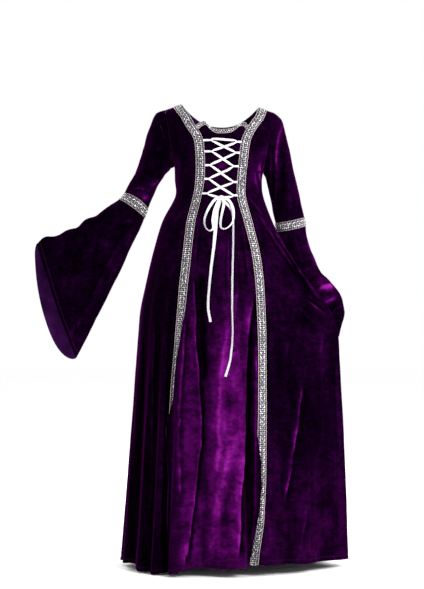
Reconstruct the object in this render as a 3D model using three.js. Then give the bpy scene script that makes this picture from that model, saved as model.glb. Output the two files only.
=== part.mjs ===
// A medieval-style velvet gown, worn and hollow: princess-seamed front, one back, bell sleeves,
// woven trims and a laced front. Millimetres, +Z up, front towards -Y, +X on the wearer's left.
// The origin is on the shoulders, midway between the two shoulder seams, where the gown is held.
import * as THREE from "three";

// Driving dimensions
const CLOTH = 2; // thickness of the velvet wall
const TRIM_THICK = 1.2;
const TRIM_WIDTH = 27; // woven trim down the front
const NECK_TRIM_WIDTH = 12; // narrow trim on the neckline of the front panel
const ELBOW_TRIM_HALF = 12.5; // half the width of the trim round each elbow
const SEAM = 0.2; // each panel stops this far from the seam line
const LIFT = 0.4; // gap between a panel and what is sewn on it
const LACE_WIDTH = 6;
const LACE_THICK = 0.8;
const LOOP_WIDTH = 6;
const HEM_Z = -1375;
const ARMPIT_Z = -190;
const ARMPIT_SLANT = 10; // the left armpit hangs this much lower than the middle, the right one higher
const ARMHOLE_DEEP = 48; // half the armhole's width, front to back
const CHEST_FRONT = 108;
const CHEST_BACK = 96;
const BACK_NECK_DROP = 58;

const deg = (a) => (a * Math.PI) / 180;
const clamp = (v, low, high) => Math.min(high, Math.max(low, v));
const mix = (a, b, t) => a + (b - a) * t;
const smooth = (t) => {
  const u = clamp(t, 0, 1);
  return u * u * (3 - 2 * u);
};
const vec = (x, y, z) => new THREE.Vector3(x, y, z);

// Horizontal sections of the bodice and skirt, from the armpits to the hem: how far each reaches
// from the middle to the wearer's right, left, front and back. pull is how far the held-out side
// stands beyond the natural skirt, spread how far round it that goes (radians), tip how far forward.
const SECTIONS = [
  { z: ARMPIT_Z, right: 139, left: 131, front: CHEST_FRONT, back: CHEST_BACK, pull: 0, spread: 0.4, tip: 0 },
  { z: -226, right: 138, left: 128, front: 102, back: 92, pull: 0, spread: 0.4, tip: 0 },
  { z: -272, right: 137, left: 133, front: 95, back: 85, pull: 0, spread: 0.4, tip: 0 },
  { z: -345, right: 175, left: 160, front: 112, back: 108, pull: 0, spread: 0.32, tip: 0 },
  { z: -433, right: 202, left: 188, front: 134, back: 136, pull: 16, spread: 0.26, tip: 8 },
  { z: -525, right: 224, left: 213, front: 153, back: 158, pull: 52, spread: 0.23, tip: 26 },
  { z: -605, right: 240, left: 231, front: 168, back: 176, pull: 97, spread: 0.21, tip: 42 },
  { z: -680, right: 247, left: 241, front: 180, back: 190, pull: 116, spread: 0.25, tip: 44 },
  { z: -780, right: 254, left: 251, front: 194, back: 207, pull: 114, spread: 0.32, tip: 38 },
  { z: -900, right: 261, left: 262, front: 210, back: 226, pull: 110, spread: 0.4, tip: 30 },
  { z: -1040, right: 271, left: 273, front: 226, back: 245, pull: 106, spread: 0.46, tip: 22 },
  { z: -1180, right: 281, left: 284, front: 241, back: 262, pull: 101, spread: 0.5, tip: 15 },
  { z: -1310, right: 291, left: 295, front: 255, back: 277, pull: 95, spread: 0.52, tip: 11 },
  { z: HEM_Z, right: 296, left: 300, front: 262, back: 284, pull: 92, spread: 0.52, tip: 10 },
];

// Ridges and grooves of the skirt's folds at the hem: at is degrees round from the front middle
// towards the wearer's left, out is how far it stands out (in, if negative), lean how far it falls
// over sideways, to the wearer's left, and top where it starts.
const FOLDS = [
  { at: -94, out: 9, lean: 0, top: -420 },
  { at: -83, out: -7, lean: 0, top: -430 },
  { at: -73, out: 10, lean: 0, top: -400 },
  { at: -63, out: -9, lean: 0, top: -400 },
  { at: -54, out: 12, lean: 4, top: -380 },
  { at: -47, out: -9, lean: 0, top: -400 },
  { at: -41, out: 12, lean: 0, top: -420 },
  { at: -32.5, out: -20, lean: 0, top: -520 },
  { at: -24, out: 24, lean: -15, top: -430 },
  { at: -11.5, out: -14, lean: 0, top: -330 },
  { at: 9.5, out: 21, lean: 7, top: -340 },
  { at: 16.5, out: -21, lean: -3, top: -420 },
  { at: 23.5, out: 5, lean: 0, top: -420 },
  { at: 34, out: -4, lean: 0, top: -600 },
  { at: 49, out: 7, lean: 0, top: -560 },
  { at: 64, out: -5, lean: 0, top: -620 },
  { at: 78, out: 2, lean: 0, top: -700 },
  { at: 90, out: 0, lean: 0, top: -700 },
  { at: 103, out: -12, lean: 0, top: -560 },
  { at: 116, out: 13, lean: 0, top: -430 },
  { at: 129, out: -15, lean: 0, top: -400 },
  { at: 142, out: 17, lean: 0, top: -380 },
  { at: 155, out: -16, lean: 0, top: -380 },
  { at: 168, out: 19, lean: 0, top: -360 },
  { at: 181, out: -16, lean: 0, top: -360 },
  { at: 194, out: 20, lean: 0, top: -360 },
  { at: 207, out: -16, lean: 0, top: -380 },
  { at: 220, out: 17, lean: 0, top: -380 },
  { at: 232, out: -14, lean: 0, top: -400 },
  { at: 244, out: 13, lean: 0, top: -400 },
  { at: 255, out: -9, lean: 0, top: -420 },
];

// Middle of each front trim: how far it lies from the front middle, by height
const TRIM_LINE = [
  { z: 14, right: 133, left: 137 },
  { z: 0, right: 126, left: 131 },
  { z: -31, right: 106, left: 121 },
  { z: -60, right: 90, left: 101 },
  { z: -90, right: 71, left: 84 },
  { z: -110, right: 64, left: 77 },
  { z: -134, right: 61, left: 73 },
  { z: -181, right: 59, left: 68 },
  { z: -226, right: 61, left: 64 },
  { z: -272, right: 69, left: 64 },
  { z: -345, right: 87, left: 83 },
  { z: -436, right: 98, left: 105 },
  { z: -526, right: 107, left: 117 },
  { z: -677, right: 121, left: 124 },
  { z: -868, right: 138, left: 124 },
  { z: -1002, right: 144, left: 122 },
  { z: -1231, right: 143, left: 117 },
  { z: HEM_Z, right: 142, left: 104 },
];

// Neckline of the front panel: humps beside the trims and a dip between them, across (-1 to 1)
const NECK_EDGE = [
  { across: -1, z: -61 },
  { across: -0.82, z: -52 },
  { across: -0.64, z: -48 },
  { across: -0.5, z: -60 },
  { across: -0.3, z: -71 },
  { across: 0, z: -73 },
  { across: 0.36, z: -70 },
  { across: 0.55, z: -60 },
  { across: 0.72, z: -51 },
  { across: 0.88, z: -52 },
  { across: 1, z: -61 },
];

// Shoulder seams: the tip where the sleeve starts, and the armpit below it, on each side
const SHOULDERS = {
  right: { side: -1, tipX: 167, tipZ: -6, armpitX: 139 },
  left: { side: 1, tipX: 165, tipZ: -15, armpitX: 131 },
};
const SHOULDER_SLOPE = 56; // rise of the shoulder line from the tip to the front middle

// Value of one column of a table at a height or place, on a smooth curve through its rows
function column(table, key, at, name) {
  const rising = table[table.length - 1][key] > table[0][key];
  const before = (row) => (rising ? row[key] <= at : row[key] >= at);
  let i = table.findLastIndex(before);
  i = clamp(i, 0, table.length - 2);
  const t = clamp((at - table[i][key]) / (table[i + 1][key] - table[i][key]), 0, 1);
  return spline(table, i, t, (row) => row[name]);
}

// Catmull-Rom value between rows i and i + 1
function spline(table, i, t, read) {
  const row = (n) => read(table[clamp(n, 0, table.length - 1)]);
  const [a, b, c, d] = [row(i - 1), row(i), row(i + 1), row(i + 2)];
  return b + 0.5 * t * (c - a + t * (2 * a - 5 * b + 4 * c - d + t * (3 * (b - c) + d - a)));
}

function section(k, name) {
  const i = clamp(Math.floor(k), 0, SECTIONS.length - 2);
  return spline(SECTIONS, i, k - i, (row) => row[name]);
}

// How far the skirt's folds stand out and lean, from ridge to groove, at an angle and height
function foldAt(theta, z) {
  const first = FOLDS[0].at;
  const at = ((((theta * 180) / Math.PI - first) % 360) + 360) % 360 + first;
  let i = FOLDS.findLastIndex((f) => f.at <= at);
  const here = FOLDS[i];
  const next = FOLDS[(i + 1) % FOLDS.length];
  const end = i + 1 < FOLDS.length ? next.at : next.at + 360;
  const grown = (f) => smooth((f.top - z) / (f.top - HEM_Z)) ** 0.75;
  const t = smooth((at - here.at) / (end - here.at));
  return {
    out: mix(here.out * grown(here), next.out * grown(next), t),
    lean: mix(here.lean * grown(here), next.lean * grown(next), t),
  };
}

// Soft fullness of the bust, cut into the front by its princess seams
function bustAt(x, z) {
  const across = (Math.abs(x) - 74) / 40;
  const down = (z + 200) / (z > -200 ? 62 : 40);
  return 17 * Math.exp(-0.5 * (across * across + down * down));
}

// Height of the hem round the skirt, in degrees from the front middle: lower on the wearer's right,
// and lifted a little where the skirt is held out
const HEM_LINE = [
  { at: -180, z: -1384 },
  { at: -90, z: -1378 },
  { at: -62, z: -1375 },
  { at: -50, z: -1391 },
  { at: -27, z: -1386 },
  { at: -17, z: -1369 },
  { at: 0, z: -1369 },
  { at: 9, z: -1361 },
  { at: 18, z: -1361 },
  { at: 50, z: -1364 },
  { at: 90, z: -1373 },
  { at: 180, z: -1384 },
];

// How far the hem line lifts or lowers a place on the skirt, from nothing at the hips
function hemShift(theta, z) {
  const at = (((((theta * 180) / Math.PI + 180) % 360) + 360) % 360) - 180;
  return (column(HEM_LINE, "at", at, "z") - HEM_Z) * smooth((z + 400) / (HEM_Z + 400));
}

const isLeft = (theta) => Math.sin(theta) >= 0;

// A point of the gown without its folds. theta goes round from the front middle, and level goes
// down: 0 at the shoulder seam, 1 at the armpit, then one for each section below it.
function bare(theta, level, half) {
  const s = Math.sin(theta);
  const c = Math.cos(theta) * -half;
  const shoulder = isLeft(theta) ? SHOULDERS.left : SHOULDERS.right;
  if (level <= 1) {
    const up = 1 - level;
    const x = s * mix(shoulder.armpitX, shoulder.tipX, up);
    const low = ARMPIT_Z - ARMPIT_SLANT * s;
    const top = shoulder.tipZ + SHOULDER_SLOPE * (1 - Math.abs(s));
    const z = mix(low, top, up);
    const edge = ARMHOLE_DEEP * Math.sqrt(Math.max(0, 1 - (2 * up - 1) ** 2));
    const middle = half < 0 ? CHEST_FRONT * (1 - up ** 2.6) ** 0.62 : CHEST_BACK * (1 - up ** 4) ** 0.6;
    let y = edge + (middle - edge) * c;
    if (half < 0) y += bustAt(x, z) * smooth(c * 2);
    return vec(x, half * Math.max(y, SEAM), z);
  }
  const k = level - 1;
  const reach = section(k, isLeft(theta) ? "left" : "right");
  const deep = c * -half >= 0 ? section(k, "front") : section(k, "back");
  const off = Math.abs(theta - Math.PI / 2);
  const round = 0.06;
  const peak = Math.exp(-(Math.sqrt(off * off + round * round) - round) / section(k, "spread"));
  const x = s * reach + section(k, "pull") * peak;
  const sectionZ = section(k, "z");
  const slant = -ARMPIT_SLANT * s * clamp(1 - k / 2, 0, 1);
  const z = sectionZ + slant + hemShift(theta, sectionZ);
  let y = -Math.cos(theta) * deep - section(k, "tip") * peak;
  if (half < 0) y -= bustAt(x, z) * smooth(c * 2);
  return vec(x, y, z);
}

const STEP = 1e-3;

// The same point with the folds: out along the section's own normal
function gown(theta, level, half) {
  if (level < 0) return gown(Math.PI - theta, -level, -half);
  const p = bare(theta, level, half);
  if (level <= 1) return p;
  const along = bare(theta + STEP, level, half).sub(bare(theta - STEP, level, half)).setZ(0).normalize();
  const { out, lean } = foldAt(theta, p.z);
  const drop = -0.25 * Math.max(out, 0);
  return p.add(vec(along.y * out + along.x * lean, along.y * lean - along.x * out, drop));
}

function gownNormal(theta, level, half) {
  const round = gown(theta + STEP, level, half).sub(gown(theta - STEP, level, half));
  const down = gown(theta, level + STEP, half).sub(gown(theta, level - STEP, half));
  return down.cross(round).normalize();
}

// How many radians of the gown's surface a short length covers
function turnFor(length, theta, level, half) {
  const step = gown(theta + STEP, level, half).sub(gown(theta - STEP, level, half)).length();
  return (length * 2 * STEP) / step;
}

// The angle on the front at which a level reaches a distance from the middle
function angleAt(side, level, reach) {
  let [low, high] = [0, deg(84)];
  for (let n = 0; n < 30; n++) {
    const middle = (low + high) / 2;
    if (Math.abs(bare(side * middle, level, -1).x) < reach(bare(side * middle, level, -1).z)) low = middle;
    else high = middle;
  }
  return (side * (low + high)) / 2;
}

// Angles of a trim's inner edge, middle and outer edge at a level
function trimAngles(name, level) {
  const { side } = SHOULDERS[name];
  const mid = angleAt(side, level, (z) => column(TRIM_LINE, "z", z, name));
  const turn = turnFor(TRIM_WIDTH / 2, mid, Math.max(level, 0.02), -1);
  return { inner: mid - side * turn, mid, outer: mid + side * turn };
}

// The level at which an angle of the front or back reaches a height above the armpit
function levelAt(theta, z, half) {
  const [low, high] = [bare(theta, 1, half).z, bare(theta, 0, half).z];
  return clamp(1 - (z - low) / (high - low), 0, 1);
}

// A closed solid between two grids of points, rows by columns; a ring's columns close on themselves
function wall(outer, inner, ring = false) {
  const rows = outer.length;
  const columns = outer[0].length;
  const positions = [];
  const index = [];
  for (const grid of [outer, inner]) for (const row of grid) for (const p of row) positions.push(p.x, p.y, p.z);
  const at = (side, r, c) => side * rows * columns + r * columns + (c % columns);
  const quad = (a, b, c, d) => index.push(a, b, c, a, c, d);
  const last = ring ? columns : columns - 1;
  for (let r = 0; r < rows - 1; r++)
    for (let c = 0; c < last; c++) {
      quad(at(0, r, c), at(0, r + 1, c), at(0, r + 1, c + 1), at(0, r, c + 1));
      quad(at(1, r, c), at(1, r, c + 1), at(1, r + 1, c + 1), at(1, r + 1, c));
    }
  for (let c = 0; c < last; c++) {
    quad(at(0, 0, c), at(0, 0, c + 1), at(1, 0, c + 1), at(1, 0, c));
    quad(at(0, rows - 1, c + 1), at(0, rows - 1, c), at(1, rows - 1, c), at(1, rows - 1, c + 1));
  }
  if (!ring)
    for (let r = 0; r < rows - 1; r++) {
      quad(at(0, r + 1, 0), at(0, r, 0), at(1, r, 0), at(1, r + 1, 0));
      quad(at(0, r + 1, last), at(1, r + 1, last), at(1, r, last), at(0, r, last));
    }
  const geometry = new THREE.BufferGeometry();
  geometry.setAttribute("position", new THREE.Float32BufferAttribute(positions, 3));
  geometry.setIndex(index);
  return facingOut(geometry);
}

// Turns the faces round if the solid's volume comes out negative
function facingOut(geometry) {
  const p = geometry.getAttribute("position");
  const { array } = geometry.getIndex();
  const [a, b, c] = [vec(), vec(), vec()];
  let volume = 0;
  for (let i = 0; i < array.length; i += 3) {
    a.fromBufferAttribute(p, array[i]);
    b.fromBufferAttribute(p, array[i + 1]);
    c.fromBufferAttribute(p, array[i + 2]);
    volume += a.dot(b.cross(c));
  }
  if (volume < 0)
    for (let i = 0; i < array.length; i += 3) [array[i + 1], array[i + 2]] = [array[i + 2], array[i + 1]];
  geometry.computeVertexNormals();
  return geometry;
}

const moved = (grid, normals, distance) =>
  grid.map((row, r) => row.map((p, c) => p.clone().addScaledVector(normals[r][c], distance)));

const VELVET = new THREE.MeshStandardMaterial({ color: 0x2a0636, roughness: 0.75, metalness: 0 });
const WOVEN = new THREE.MeshStandardMaterial({ color: 0x9a92a6, roughness: 0.45, metalness: 0.35 });
const SATIN = new THREE.MeshStandardMaterial({ color: 0xf2eff4, roughness: 0.35, metalness: 0 });

const gownGroup = new THREE.Group();
function add(name, geometry, material) {
  const mesh = new THREE.Mesh(geometry, material);
  mesh.name = name;
  gownGroup.add(mesh);
}

// Levels of the rows below the armpit, closer where the waist curves
const LOWER_LEVELS = [1, 1.5, 2, 2.5, 2.75, 3, 3.25, 3.5, 4, 4.5, 5, 5.5, 6, 6.5, 7, 7.5, 8, 9, 10, 11, 12, 13, 14];
const BELOW_NECK = [0.63, 0.8];
const FRONT_COLUMNS = 14;
const SIDE_COLUMNS = 11;
const BACK_SHOULDER_COLUMNS = 5;
const BACK_NECK_COLUMNS = 9;

// Where the front panel's neckline meets the trim on each side, and the foot of the neck trim there
function neckLevels(theta, z) {
  const edge = levelAt(theta, z, -1);
  const high = gown(theta, edge, -1);
  const step = gown(theta, edge + STEP, -1).sub(high).length() / STEP;
  return [edge, edge + NECK_TRIM_WIDTH / step];
}

function seamNeckLevels(name) {
  const z = NECK_EDGE[0].z;
  let level = 0.35;
  for (let n = 0; n < 8; n++) level = levelAt(trimAngles(name, level).inner, z, -1);
  return neckLevels(trimAngles(name, level).inner, z);
}

// Grid of the gown's points and normals from rows of [theta, level]
function panelGrid(rows, half) {
  const grid = rows.map((row) => row.map(([theta, level]) => gown(theta, level, half)));
  const normals = rows.map((row) => row.map(([theta, level]) => gownNormal(theta, level, half)));
  return { grid, normals };
}

// At the armhole the wall's edge lies in the armhole's own plane, towards its middle
function armholeNormal(name, point) {
  const { side, tipX, tipZ, armpitX } = SHOULDERS[name];
  const middle = vec((side * (tipX + armpitX)) / 2, 0, (tipZ + ARMPIT_Z - ARMPIT_SLANT * side) / 2);
  return point.clone().sub(middle).normalize();
}

function panel(name, rows, half, armholes = []) {
  const { grid, normals } = panelGrid(rows, half);
  for (const { shoulder, at } of armholes)
    rows.forEach((row, r) => {
      const c = at < 0 ? row.length - 1 : 0;
      if (row[c][1] > 0 && row[c][1] < 1) normals[r][c] = armholeNormal(shoulder, grid[r][c]);
    });
  add(name, wall(grid, moved(grid, normals, -CLOTH)), VELVET);
  return { grid, normals };
}

// The front panel between the trims, from its shaped neckline to the hem
function frontPanel() {
  const rows = [];
  const levels = [...BELOW_NECK, ...LOWER_LEVELS];
  const seam = { right: seamNeckLevels("right"), left: seamNeckLevels("left") };
  const edgeRows = [[], []];
  const bounds = (right, left) => [trimAngles("right", right).inner, trimAngles("left", left).inner];
  for (const i of [0, 1]) {
    const [from, to] = bounds(seam.right[i], seam.left[i]);
    for (let c = 0; c <= FRONT_COLUMNS; c++) {
      const t = c / FRONT_COLUMNS;
      const theta = mix(from, to, t);
      edgeRows[i].push([theta, neckLevels(theta, column(NECK_EDGE, "across", 2 * t - 1, "z"))[i]]);
    }
    edgeRows[i][0][1] = seam.right[i];
    edgeRows[i][FRONT_COLUMNS][1] = seam.left[i];
  }
  rows.push(...edgeRows);
  for (const level of levels) {
    const [from, to] = bounds(level, level);
    const row = [];
    for (let c = 0; c <= FRONT_COLUMNS; c++) row.push([mix(from, to, c / FRONT_COLUMNS), level]);
    rows.push(row);
  }
  for (const row of rows) {
    row[0][0] += turnFor(SEAM, row[0][0], row[0][1], -1);
    row[FRONT_COLUMNS][0] -= turnFor(SEAM, row[FRONT_COLUMNS][0], row[FRONT_COLUMNS][1], -1);
  }
  return panel("front_panel", rows, -1);
}

// A side front, from the trim to the armhole and side seam; its first columns carry the trim
function sideFront(name) {
  const { side } = SHOULDERS[name];
  const levels = [0, 0.05, 0.13, 0.23, ...seamNeckLevels(name), ...BELOW_NECK, ...LOWER_LEVELS];
  const rows = levels.map((level) => {
    const { inner, mid, outer } = trimAngles(name, level);
    const row = [[inner + side * turnFor(SEAM, inner, Math.max(level, 0.02), -1), level], [mid, level]];
    const edge = side * (Math.PI / 2) - (level > 1 ? side * turnFor(SEAM, (side * Math.PI) / 2, level, -1) : 0);
    for (let c = 0; c <= SIDE_COLUMNS; c++) row.push([mix(outer, edge, c / SIDE_COLUMNS), level]);
    return side < 0 ? row.reverse() : row;
  });
  const made = panel(`side_front_${name}`, rows, -1, [{ shoulder: name, at: side < 0 ? 0 : -1 }]);
  const take = (row) => (side < 0 ? row.slice(-3) : row.slice(0, 3));
  return { grid: made.grid.map(take), normals: made.normals.map(take) };
}

// The back in one piece, from side seam to side seam, with a shallow round neckline
function backPanel() {
  const shares = [0, 0.06, 0.16, 0.3, 0.45, 0.62, 0.8, 1];
  const neckReach = (name) => Math.abs(Math.sin(trimAngles(name, 0).inner));
  const angles = [];
  const neck = [neckReach("left"), neckReach("right")].map((s) => Math.asin(s));
  const right = 1.5 * Math.PI;
  const [from, to] = [Math.PI - neck[0], Math.PI + neck[1]];
  for (let c = 0; c < BACK_SHOULDER_COLUMNS; c++) angles.push(mix(Math.PI / 2, from, c / BACK_SHOULDER_COLUMNS));
  for (let c = 0; c < 2 * BACK_NECK_COLUMNS; c++) angles.push(mix(from, to, c / (2 * BACK_NECK_COLUMNS)));
  for (let c = 0; c <= BACK_SHOULDER_COLUMNS; c++) angles.push(mix(to, right, c / BACK_SHOULDER_COLUMNS));
  const edgeLevel = (theta) => {
    const reach = Math.sin(theta) / Math.sin(neck[isLeft(theta) ? 0 : 1]);
    if (Math.abs(reach) >= 1) return 0;
    const shoulder = mix(bare(to, 0, 1).z, bare(from, 0, 1).z, (1 + reach) / 2);
    return levelAt(theta, shoulder - BACK_NECK_DROP * (1 - Math.abs(reach) ** 2.4), 1);
  };
  const rows = shares.map((share) => angles.map((theta) => [theta, mix(edgeLevel(theta), 1, share)]));
  for (const level of LOWER_LEVELS.slice(1)) rows.push(angles.map((theta) => [theta, level]));
  const last = angles.length - 1;
  for (const row of rows)
    if (row[0][1] >= 1) {
      row[0][0] += turnFor(SEAM, Math.PI / 2, Math.max(row[0][1], 1.01), 1);
      row[last][0] -= turnFor(SEAM, right, Math.max(row[last][1], 1.01), 1);
    }
  panel("back", rows, 1, [
    { shoulder: "left", at: 0 },
    { shoulder: "right", at: -1 },
  ]);
}

// A strip sewn on a panel, made from the panel's own points moved out
function strip(name, { grid, normals }, material, thick = TRIM_THICK) {
  add(name, wall(moved(grid, normals, LIFT + thick), moved(grid, normals, LIFT)), material);
}

// Sleeves. Each row is a section: the outer end of it, the inner end, and half its width.
// Rows 0 to 7 run from the armhole to the elbow seam, and 7 on is the bell.
const RIGHT_SLEEVE = [
  { ox: -167, oy: 0, oz: -6, ix: -139, iy: 0, iz: -180, wide: 48, hang: 48 },
  { ox: -196, oy: -4, oz: -19, ix: -152, iy: -4, iz: -186, wide: 48, hang: 48 },
  { ox: -209, oy: -15, oz: -57, ix: -159, iy: -15, iz: -195, wide: 47, hang: 47 },
  { ox: -223, oy: -34, oz: -106, ix: -168, iy: -34, iz: -206, wide: 46, hang: 46 },
  { ox: -238, oy: -56, oz: -156, ix: -178, iy: -56, iz: -224, wide: 45, hang: 45 },
  { ox: -255, oy: -78, oz: -202, ix: -192, iy: -78, iz: -250, wide: 44, hang: 44 },
  { ox: -277, oy: -97, oz: -244, ix: -206, iy: -97, iz: -286, wide: 43, hang: 43 },
  { ox: -295, oy: -110, oz: -277, ix: -222, iy: -110, iz: -328, wide: 44, hang: 44 },
  { ox: -325, oy: -116, oz: -299, ix: -236, iy: -112, iz: -365, wide: 45, hang: 40 },
  { ox: -354, oy: -122, oz: -320, ix: -254, iy: -114, iz: -401, wide: 45, hang: 36 },
  { ox: -386, oy: -128, oz: -338, ix: -275, iy: -117, iz: -445, wide: 44, hang: 33 },
  { ox: -422, oy: -135, oz: -361, ix: -300, iy: -120, iz: -502, wide: 43, hang: 31 },
  { ox: -460, oy: -142, oz: -382, ix: -329, iy: -123, iz: -560, wide: 42, hang: 30 },
  { ox: -499, oy: -150, oz: -394, ix: -360, iy: -126, iz: -621, wide: 41, hang: 30 },
  { ox: -526, oy: -156, oz: -403, ix: -394, iy: -129, iz: -690, wide: 40, hang: 30 },
  { ox: -546, oy: -161, oz: -415, ix: -428, iy: -132, iz: -757, wide: 38, hang: 30 },
];
const LEFT_SLEEVE = [
  { ox: 165, oy: 0, oz: -15, ix: 131, iy: 0, iz: -200, wide: 48, hang: 48 },
  { ox: 188, oy: 2, oz: -36, ix: 139, iy: 2, iz: -212, wide: 48, hang: 48 },
  { ox: 200, oy: 5, oz: -80, ix: 143, iy: 5, iz: -226, wide: 47, hang: 47 },
  { ox: 212, oy: 9, oz: -130, ix: 147, iy: 9, iz: -244, wide: 46, hang: 46 },
  { ox: 224, oy: 13, oz: -185, ix: 152, iy: 13, iz: -266, wide: 45, hang: 45 },
  { ox: 237, oy: 17, oz: -240, ix: 157, iy: 17, iz: -292, wide: 44, hang: 44 },
  { ox: 250, oy: 21, oz: -295, ix: 163, iy: 21, iz: -325, wide: 44, hang: 44 },
  { ox: 261, oy: 24, oz: -345, ix: 172, iy: 24, iz: -362, wide: 44, hang: 44 },
  { ox: 266, oy: 26, oz: -386, ix: 176, iy: 38, iz: -418, wide: 44, hang: 38 },
  { ox: 276, oy: 26, oz: -426, ix: 182, iy: 62, iz: -478, wide: 42, hang: 32 },
  { ox: 289, oy: 25, oz: -462, ix: 190, iy: 92, iz: -538, wide: 40, hang: 28 },
  { ox: 306, oy: 23, oz: -499, ix: 200, iy: 122, iz: -598, wide: 38, hang: 25 },
  { ox: 330, oy: 20, oz: -523, ix: 211, iy: 146, iz: -660, wide: 36, hang: 24 },
  { ox: 353, oy: 16, oz: -549, ix: 222, iy: 164, iz: -724, wide: 35, hang: 24 },
  { ox: 371, oy: 12, oz: -580, ix: 233, iy: 176, iz: -788, wide: 34, hang: 24 },
  { ox: 378, oy: 8, oz: -616, ix: 244, iy: 184, iz: -850, wide: 32, hang: 24 },
];
const ELBOW_ROW = 7;
const SLEEVE_SIDES = 24;
const BELL_FOLDS = 3; // soft folds on each face of a bell
const BELL_FOLD_DEEP = 6;
// How far the bell's open edge swings out beyond a straight cut, on its front and back face
const HEM_SWING = { right: { front: 12, back: 62 }, left: { front: -26, back: 34 } };

function sleeveRow(table, r) {
  const i = clamp(Math.floor(r), 0, table.length - 2);
  const read = (name) => spline(table, i, r - i, (row) => row[name]);
  const outer = vec(read("ox"), read("oy"), read("oz"));
  const inner = vec(read("ix"), read("iy"), read("iz"));
  return { outer, inner, middle: outer.clone().add(inner).multiplyScalar(0.5), wide: read("wide"), hang: read("hang") };
}

function sleevePoint(name, r, phi) {
  const table = name === "left" ? LEFT_SLEEVE : RIGHT_SLEEVE;
  const { outer, inner, middle, wide, hang } = sleeveRow(table, r);
  const last = table.length - 1;
  const axis = sleeveRow(table, Math.min(r + 0.5, last)).middle.sub(sleeveRow(table, Math.max(r - 0.5, 0)).middle);
  const across = outer.clone().sub(inner).multiplyScalar(0.5);
  const front = axis.clone().cross(across).normalize();
  if (front.y > 0) front.negate();
  front.lerp(vec(0, -1, 0), clamp(1 - r / 2, 0, 1)).normalize();
  const c = Math.cos(phi);
  const s = Math.sin(phi);
  const bell = clamp((r - ELBOW_ROW) / (last - ELBOW_ROW), 0, 1);
  const waves = Math.sin(2 * BELL_FOLDS * phi + (s > 0 ? 0.6 : 2.4)) * BELL_FOLD_DEEP * bell * Math.abs(s);
  const width = mix(hang, wide, (1 + c) / 2) + waves;
  const swing = HEM_SWING[name][s > 0 ? "front" : "back"] * bell ** 2 * Math.abs(s) ** 1.3;
  const skew = mix(0.75, 1.2, (1 - c) / 2);
  return middle
    .addScaledVector(across, c)
    .addScaledVector(front, width * s)
    .addScaledVector(axis.normalize(), swing * skew);
}

// The gown's level at a height below the armpit
function levelOfHeight(z) {
  let [low, high] = [1, SECTIONS.length];
  for (let n = 0; n < 30; n++) {
    const middle = (low + high) / 2;
    if (section(middle - 1, "z") > z) low = middle;
    else high = middle;
  }
  return (low + high) / 2;
}

// Moves a sleeve's point back until it is behind the skirt, where it would lie inside it
const SLEEVE_CLEAR = 5;
const RING_STEPS = 90;
function behindSkirt(point) {
  if (point.z > -330) return point;
  const level = levelOfHeight(point.z);
  let back = -Infinity;
  for (let n = 0; n < RING_STEPS; n++) {
    const a = gown(mix(0.15, Math.PI, n / RING_STEPS), level, 1);
    const b = gown(mix(0.15, Math.PI, (n + 1) / RING_STEPS), level, 1);
    const [near, far] = [a.x, b.x].sort((p, q) => p - q);
    if (point.x >= near - SLEEVE_CLEAR && point.x <= far + SLEEVE_CLEAR) back = Math.max(back, a.y, b.y);
  }
  if (point.y < back + SLEEVE_CLEAR) point.y = back + SLEEVE_CLEAR;
  return point;
}

// Normals of a ring grid, from its own neighbouring points
function ringNormals(grid) {
  const last = grid.length - 1;
  return grid.map((row, r) => {
    const middle = row.reduce((sum, p) => sum.add(p), vec(0, 0, 0)).divideScalar(row.length);
    return row.map((p, c) => {
      const n = row.length;
      const round = row[(c + 1) % n].clone().sub(row[(c + n - 1) % n]);
      const down = grid[Math.min(r + 1, last)][c].clone().sub(grid[Math.max(r - 1, 0)][c]);
      const normal = round.cross(down).normalize();
      return normal.dot(p.clone().sub(middle)) < 0 ? normal.negate() : normal;
    });
  });
}

// Rows of a sleeve between two places, shared by the sleeve's two pieces and its elbow trim
function sleeveGrid(name, places) {
  return places.map((r) => {
    const row = [];
    for (let c = 0; c < SLEEVE_SIDES; c++) {
      const point = sleevePoint(name, r, (2 * Math.PI * c) / SLEEVE_SIDES);
      row.push(name === "left" ? behindSkirt(point) : point);
    }
    return row;
  });
}

function sleeve(name) {
  const table = name === "left" ? LEFT_SLEEVE : RIGHT_SLEEVE;
  const { side } = SHOULDERS[name];
  const length = (a, b) => sleeveRow(table, a).middle.distanceTo(sleeveRow(table, b).middle);
  const before = ELBOW_ROW - ELBOW_TRIM_HALF / length(ELBOW_ROW - 1, ELBOW_ROW);
  const after = ELBOW_ROW + ELBOW_TRIM_HALF / length(ELBOW_ROW, ELBOW_ROW + 1);
  const places = [0, 0.5, 1, 1.6, 2.4, 3.3, 4.2, 5.1, 6, before, ELBOW_ROW, after, 8, 9, 10, 11, 12, 13, 14, 15];
  const grid = sleeveGrid(name, places);
  for (const p of grid[0]) p.x += side * 2 * SEAM;
  const normals = ringNormals(grid);
  grid[0].forEach((p, c) => (normals[0][c] = armholeNormal(name, p)));
  const elbow = places.indexOf(ELBOW_ROW);
  const shifted = (r, towards) => grid[r].map((p, c) => p.clone().lerp(grid[towards][c], SEAM / length(6, 7)));
  const piece = (rows, from, to) => {
    const part = normals.slice(from, to);
    return wall(rows, moved(rows, part, -CLOTH), true);
  };
  const upper = [...grid.slice(0, elbow), shifted(elbow, elbow - 2)];
  const bell = [shifted(elbow, elbow + 2), ...grid.slice(elbow + 1)];
  add(`sleeve_${name}`, piece(upper, 0, elbow + 1), VELVET);
  add(`bell_${name}`, piece(bell, elbow, grid.length), VELVET);
  const band = grid.slice(elbow - 1, elbow + 2);
  const bandNormals = normals.slice(elbow - 1, elbow + 2);
  const outer = moved(band, bandNormals, LIFT + TRIM_THICK);
  add(`elbow_trim_${name}`, wall(outer, moved(band, bandNormals, LIFT), true), WOVEN);
}

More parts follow.
